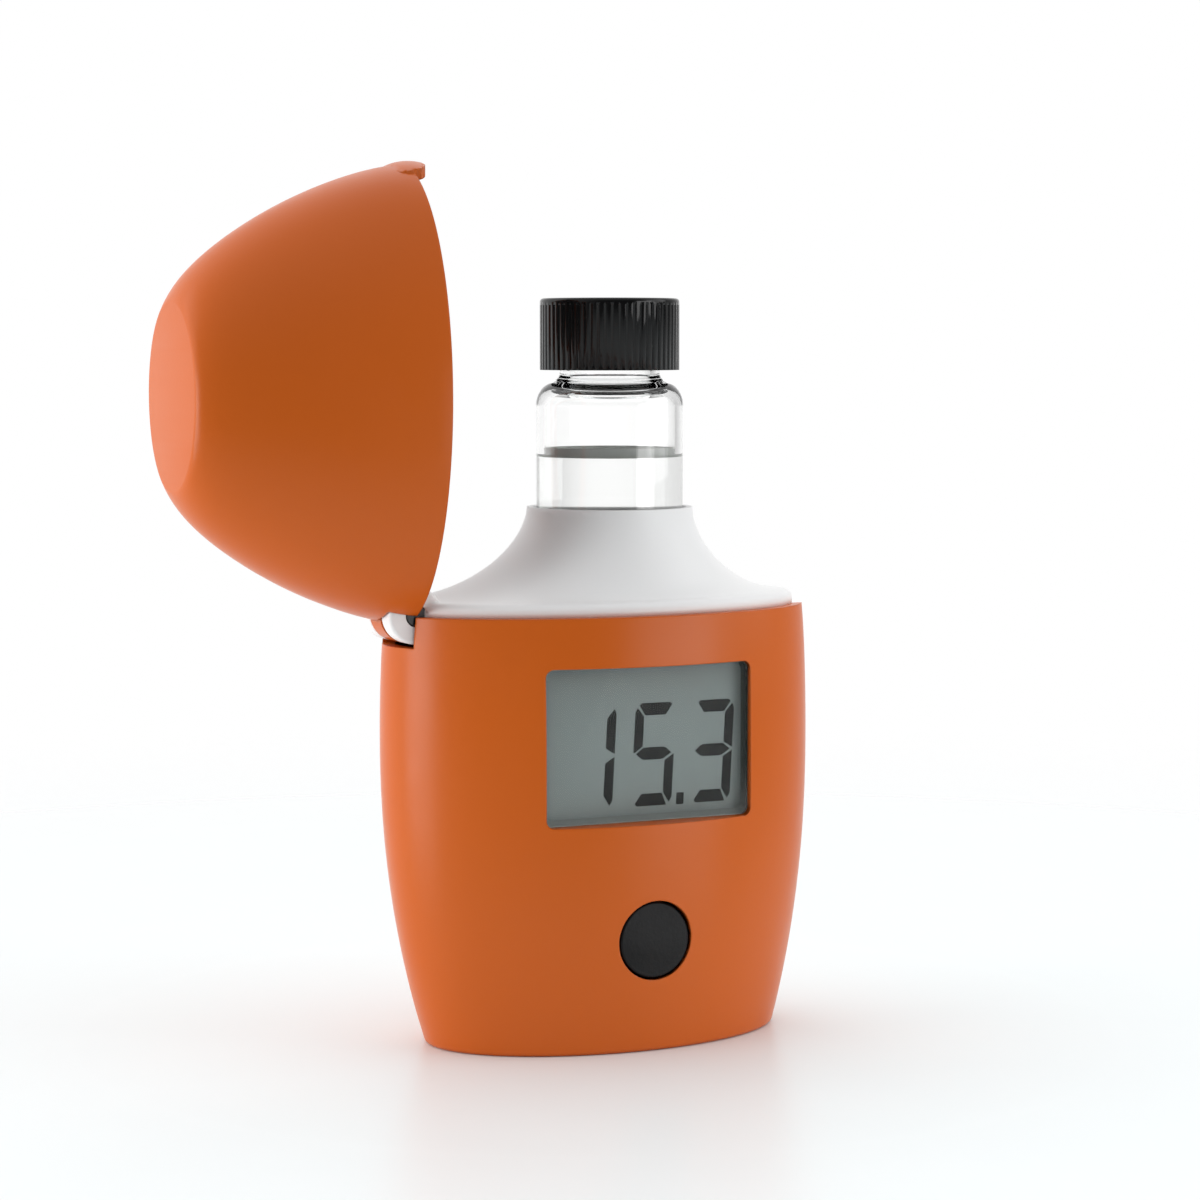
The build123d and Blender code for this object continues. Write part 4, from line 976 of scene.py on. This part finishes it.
def glass_thread():
    bpy.ops.object.select_all(action="DESELECT")
    bpy.ops.mesh.primitive_circle_add(
        vertices=12, radius=THREAD_RADIUS * MM, rotation=(math.pi / 2, 0, 0),
        location=(THREAD_REACH * MM, 0, 0),
    )
    piece = bpy.context.object
    piece.name = "neck_thread"
    bpy.ops.object.transform_apply(location=True, rotation=True, scale=True)
    screw = piece.modifiers.new("thread", "SCREW")
    screw.axis = "Z"
    screw.angle = math.radians(360 * THREAD_TURNS)
    screw.screw_offset = THREAD_PITCH * MM * THREAD_TURNS
    screw.steps = THREAD_STEPS
    screw.render_steps = THREAD_STEPS
    screw.use_merge_vertices = False
    bpy.ops.object.modifier_apply(modifier=screw.name)
    bpy.ops.object.mode_set(mode="EDIT")
    bpy.ops.mesh.select_all(action="DESELECT")
    bpy.ops.mesh.select_mode(type="EDGE")
    bpy.ops.mesh.select_non_manifold()
    bpy.ops.mesh.edge_face_add()
    bpy.ops.object.mode_set(mode="OBJECT")
    piece.location = (CUVETTE_X * MM, 0, THREAD_LOW * MM)
    return piece


finish_piece(glass_thread(), cuvette_clear, "cuvette", angle=60)

# %% [markdown]
# ## The digits
# A seven-segment number. On a real display the segments are cut with mitred ends and thin gaps, so
# each one is a small polygon: the outer ones are bars with slanted ends, the middle one a hexagon.
# A segment is drawn by extruding a point from corner to corner, and then filled and thickened.

# %% One flat outline
def flat_outline(name, points, front, thick):
    """Draw a closed outline facing -Y from points (x, z) in millimetres, and give it thickness."""
    bpy.ops.object.select_all(action="DESELECT")
    x, z = points[0]
    bpy.ops.mesh.primitive_plane_add(size=MM, location=(x * MM, front * MM, z * MM))
    piece = bpy.context.object
    piece.name = name
    bpy.ops.object.mode_set(mode="EDIT")
    bpy.ops.mesh.select_mode(type="VERT")
    bpy.ops.mesh.select_all(action="SELECT")
    bpy.ops.mesh.merge(type="CENTER")
    for (x0, z0), (x1, z1) in zip(points, points[1:]):
        bpy.ops.mesh.extrude_region_move(
            TRANSFORM_OT_translate={"value": ((x1 - x0) * MM, 0, (z1 - z0) * MM)}
        )
    bpy.ops.mesh.select_all(action="SELECT")
    bpy.ops.mesh.edge_face_add()
    bpy.ops.mesh.extrude_region_move(TRANSFORM_OT_translate={"value": (0, thick * MM, 0)})
    bpy.ops.object.mode_set(mode="OBJECT")
    pick_only(piece)
    bpy.ops.object.transform_apply(location=True, rotation=True, scale=True)
    return piece


# %% [markdown]
# The corners are given for one digit from its left, right, top, middle and bottom lines, so that
# the digits share their heights, and every digit leans a little to the right. UPRIGHT and LEVEL
# are the widths of the upright and of the level bars.

# %% The seven segments
DIGIT_WIDE, DIGIT_LOW, DIGIT_HIGH = 5.85, 31.62, 44.98
DIGIT_MIDDLE = 38.42
DIGIT_PITCH = 8.55
UPRIGHT, LEVEL = 1.3, 1.6
LEAN = math.tan(math.radians(3.2))


def segment_points(letter, right):
    """The corners of one segment of the digit whose right line is at right, before it leans."""
    left = right - DIGIT_WIDE
    top, mid, low = DIGIT_HIGH, DIGIT_MIDDLE, DIGIT_LOW
    inner_left, inner_right = left + UPRIGHT, right - UPRIGHT
    return {
        "a": [(left + 0.9, top), (right - 0.9, top), (right - 0.55, top - 0.3),
              (inner_right - 0.15, top - LEVEL), (inner_left + 0.15, top - LEVEL),
              (left + 0.55, top - 0.3)],
        "b": [(right - 0.3, top - 0.57), (right, top - 1.2), (right, mid + 0.2),
              (inner_right, mid + 0.98), (inner_right, top - 1.75)],
        "c": [(right, mid - 0.15), (inner_right, mid - 0.97), (inner_right, low + 1.7),
              (right - 0.4, low + 0.35), (right, low + 1.05)],
        "d": [(inner_left + 0.15, low + LEVEL), (inner_right - 0.15, low + LEVEL),
              (right - 0.75, low), (left + 0.85, low), (left + 0.55, low + 0.35)],
        "f": [(left + 0.3, top - 0.57), (left, top - 1.2), (left, mid + 0.25),
              (left + 0.2, mid + 0.15), (inner_left, mid + 0.98), (inner_left, top - 1.75)],
        "g": [(left + 0.35, mid), (inner_left + 0.1, mid + LEVEL / 2),
              (inner_right - 0.1, mid + LEVEL / 2), (right - 0.35, mid),
              (inner_right - 0.3, mid - LEVEL / 2), (inner_left + 0.1, mid - LEVEL / 2)],
    }[letter]


def leaning(points):
    return [(x + (z - DIGIT_MIDDLE) * LEAN, z) for x, z in points]


print("a digit is", DIGIT_WIDE, "by", round(DIGIT_HIGH - DIGIT_LOW, 2), "mm")

# %% [markdown]
# The number has three digits, with a small point after the second one. All the bars are joined into
# one piece, because they are one layer of ink-like crystal just in front of the display's glass.

# %% The number
FIGURES = {"1": "bc", "5": "afgcd", "3": "abgcd"}
MIDDLE_DIGIT_RIGHT = 4.55
INK_FRONT, INK_THICK = LCD_FRONT - 0.03, 0.02
POINT_SIZE, POINT_GAP, POINT_DROP = (1.08, 1.53), 0.7, 0.06
bars = []
for place, figure in enumerate("153"):
    right = MIDDLE_DIGIT_RIGHT + (place - 1) * DIGIT_PITCH
    for letter in FIGURES[figure]:
        outline = leaning(segment_points(letter, right))
        bars.append(flat_outline("bar", outline, INK_FRONT, INK_THICK))
point_left = MIDDLE_DIGIT_RIGHT + POINT_GAP
point_low = DIGIT_LOW - POINT_DROP
point_corners = [
    (point_left, point_low), (point_left + POINT_SIZE[0], point_low),
    (point_left + POINT_SIZE[0], point_low + POINT_SIZE[1]),
    (point_left, point_low + POINT_SIZE[1]),
]
bars.append(flat_outline("bar", leaning(point_corners), INK_FRONT, INK_THICK))
bpy.ops.object.select_all(action="DESELECT")
for bar in bars:
    bar.select_set(True)
bpy.context.view_layer.objects.active = bars[0]
bpy.ops.object.join()
lcd_number = bpy.context.object
lcd_number.name = "lcd_number"
finish_piece(lcd_number, digit_black, "housing", angle=20)

# %% [markdown]
# ## The floor
# A white sheet, with just enough gloss for the foot of the body to show in it faintly. Further out
# it fades into the white surroundings, so there is no horizon.

# %% Floor
FLOOR_RADIUS, FADE_FROM, FADE_TO = 2.0, 0.07, 0.34


def floor_material():
    material, tree, shader = new_material("white_sheet")
    place = tree.nodes.new("ShaderNodeTexCoord").outputs["Object"]
    length = tree.nodes.new("ShaderNodeVectorMath")
    length.operation = "LENGTH"
    tree.links.new(place, length.inputs[0])
    fade = map_range(tree, length.outputs["Value"], FADE_FROM, FADE_TO, 1.0, 0.0)
    fade = math_node(tree, "POWER", fade, 1.5)
    speck = noise_node(tree, place, 40.0, 3.0)
    tree.links.new(
        mix_colour(tree, speck, (0.865, 0.92, 0.93), (0.885, 0.935, 0.945)),
        shader.inputs["Base Color"],
    )
    tree.links.new(fade, shader.inputs["Alpha"])
    shader.inputs["Roughness"].default_value = 0.34
    shader.inputs["Specular IOR Level"].default_value = 0.15
    return material


bpy.ops.object.select_all(action="DESELECT")
bpy.ops.mesh.primitive_circle_add(vertices=96, radius=FLOOR_RADIUS, fill_type="NGON")
floor = bpy.context.object
floor.name = "studio_floor"
bpy.ops.object.mode_set(mode="EDIT")
bpy.ops.mesh.inset(thickness=1.0)
bpy.ops.object.mode_set(mode="OBJECT")
floor.data.materials.append(floor_material())
print("floor is", round(floor.dimensions.x, 2), "m across")
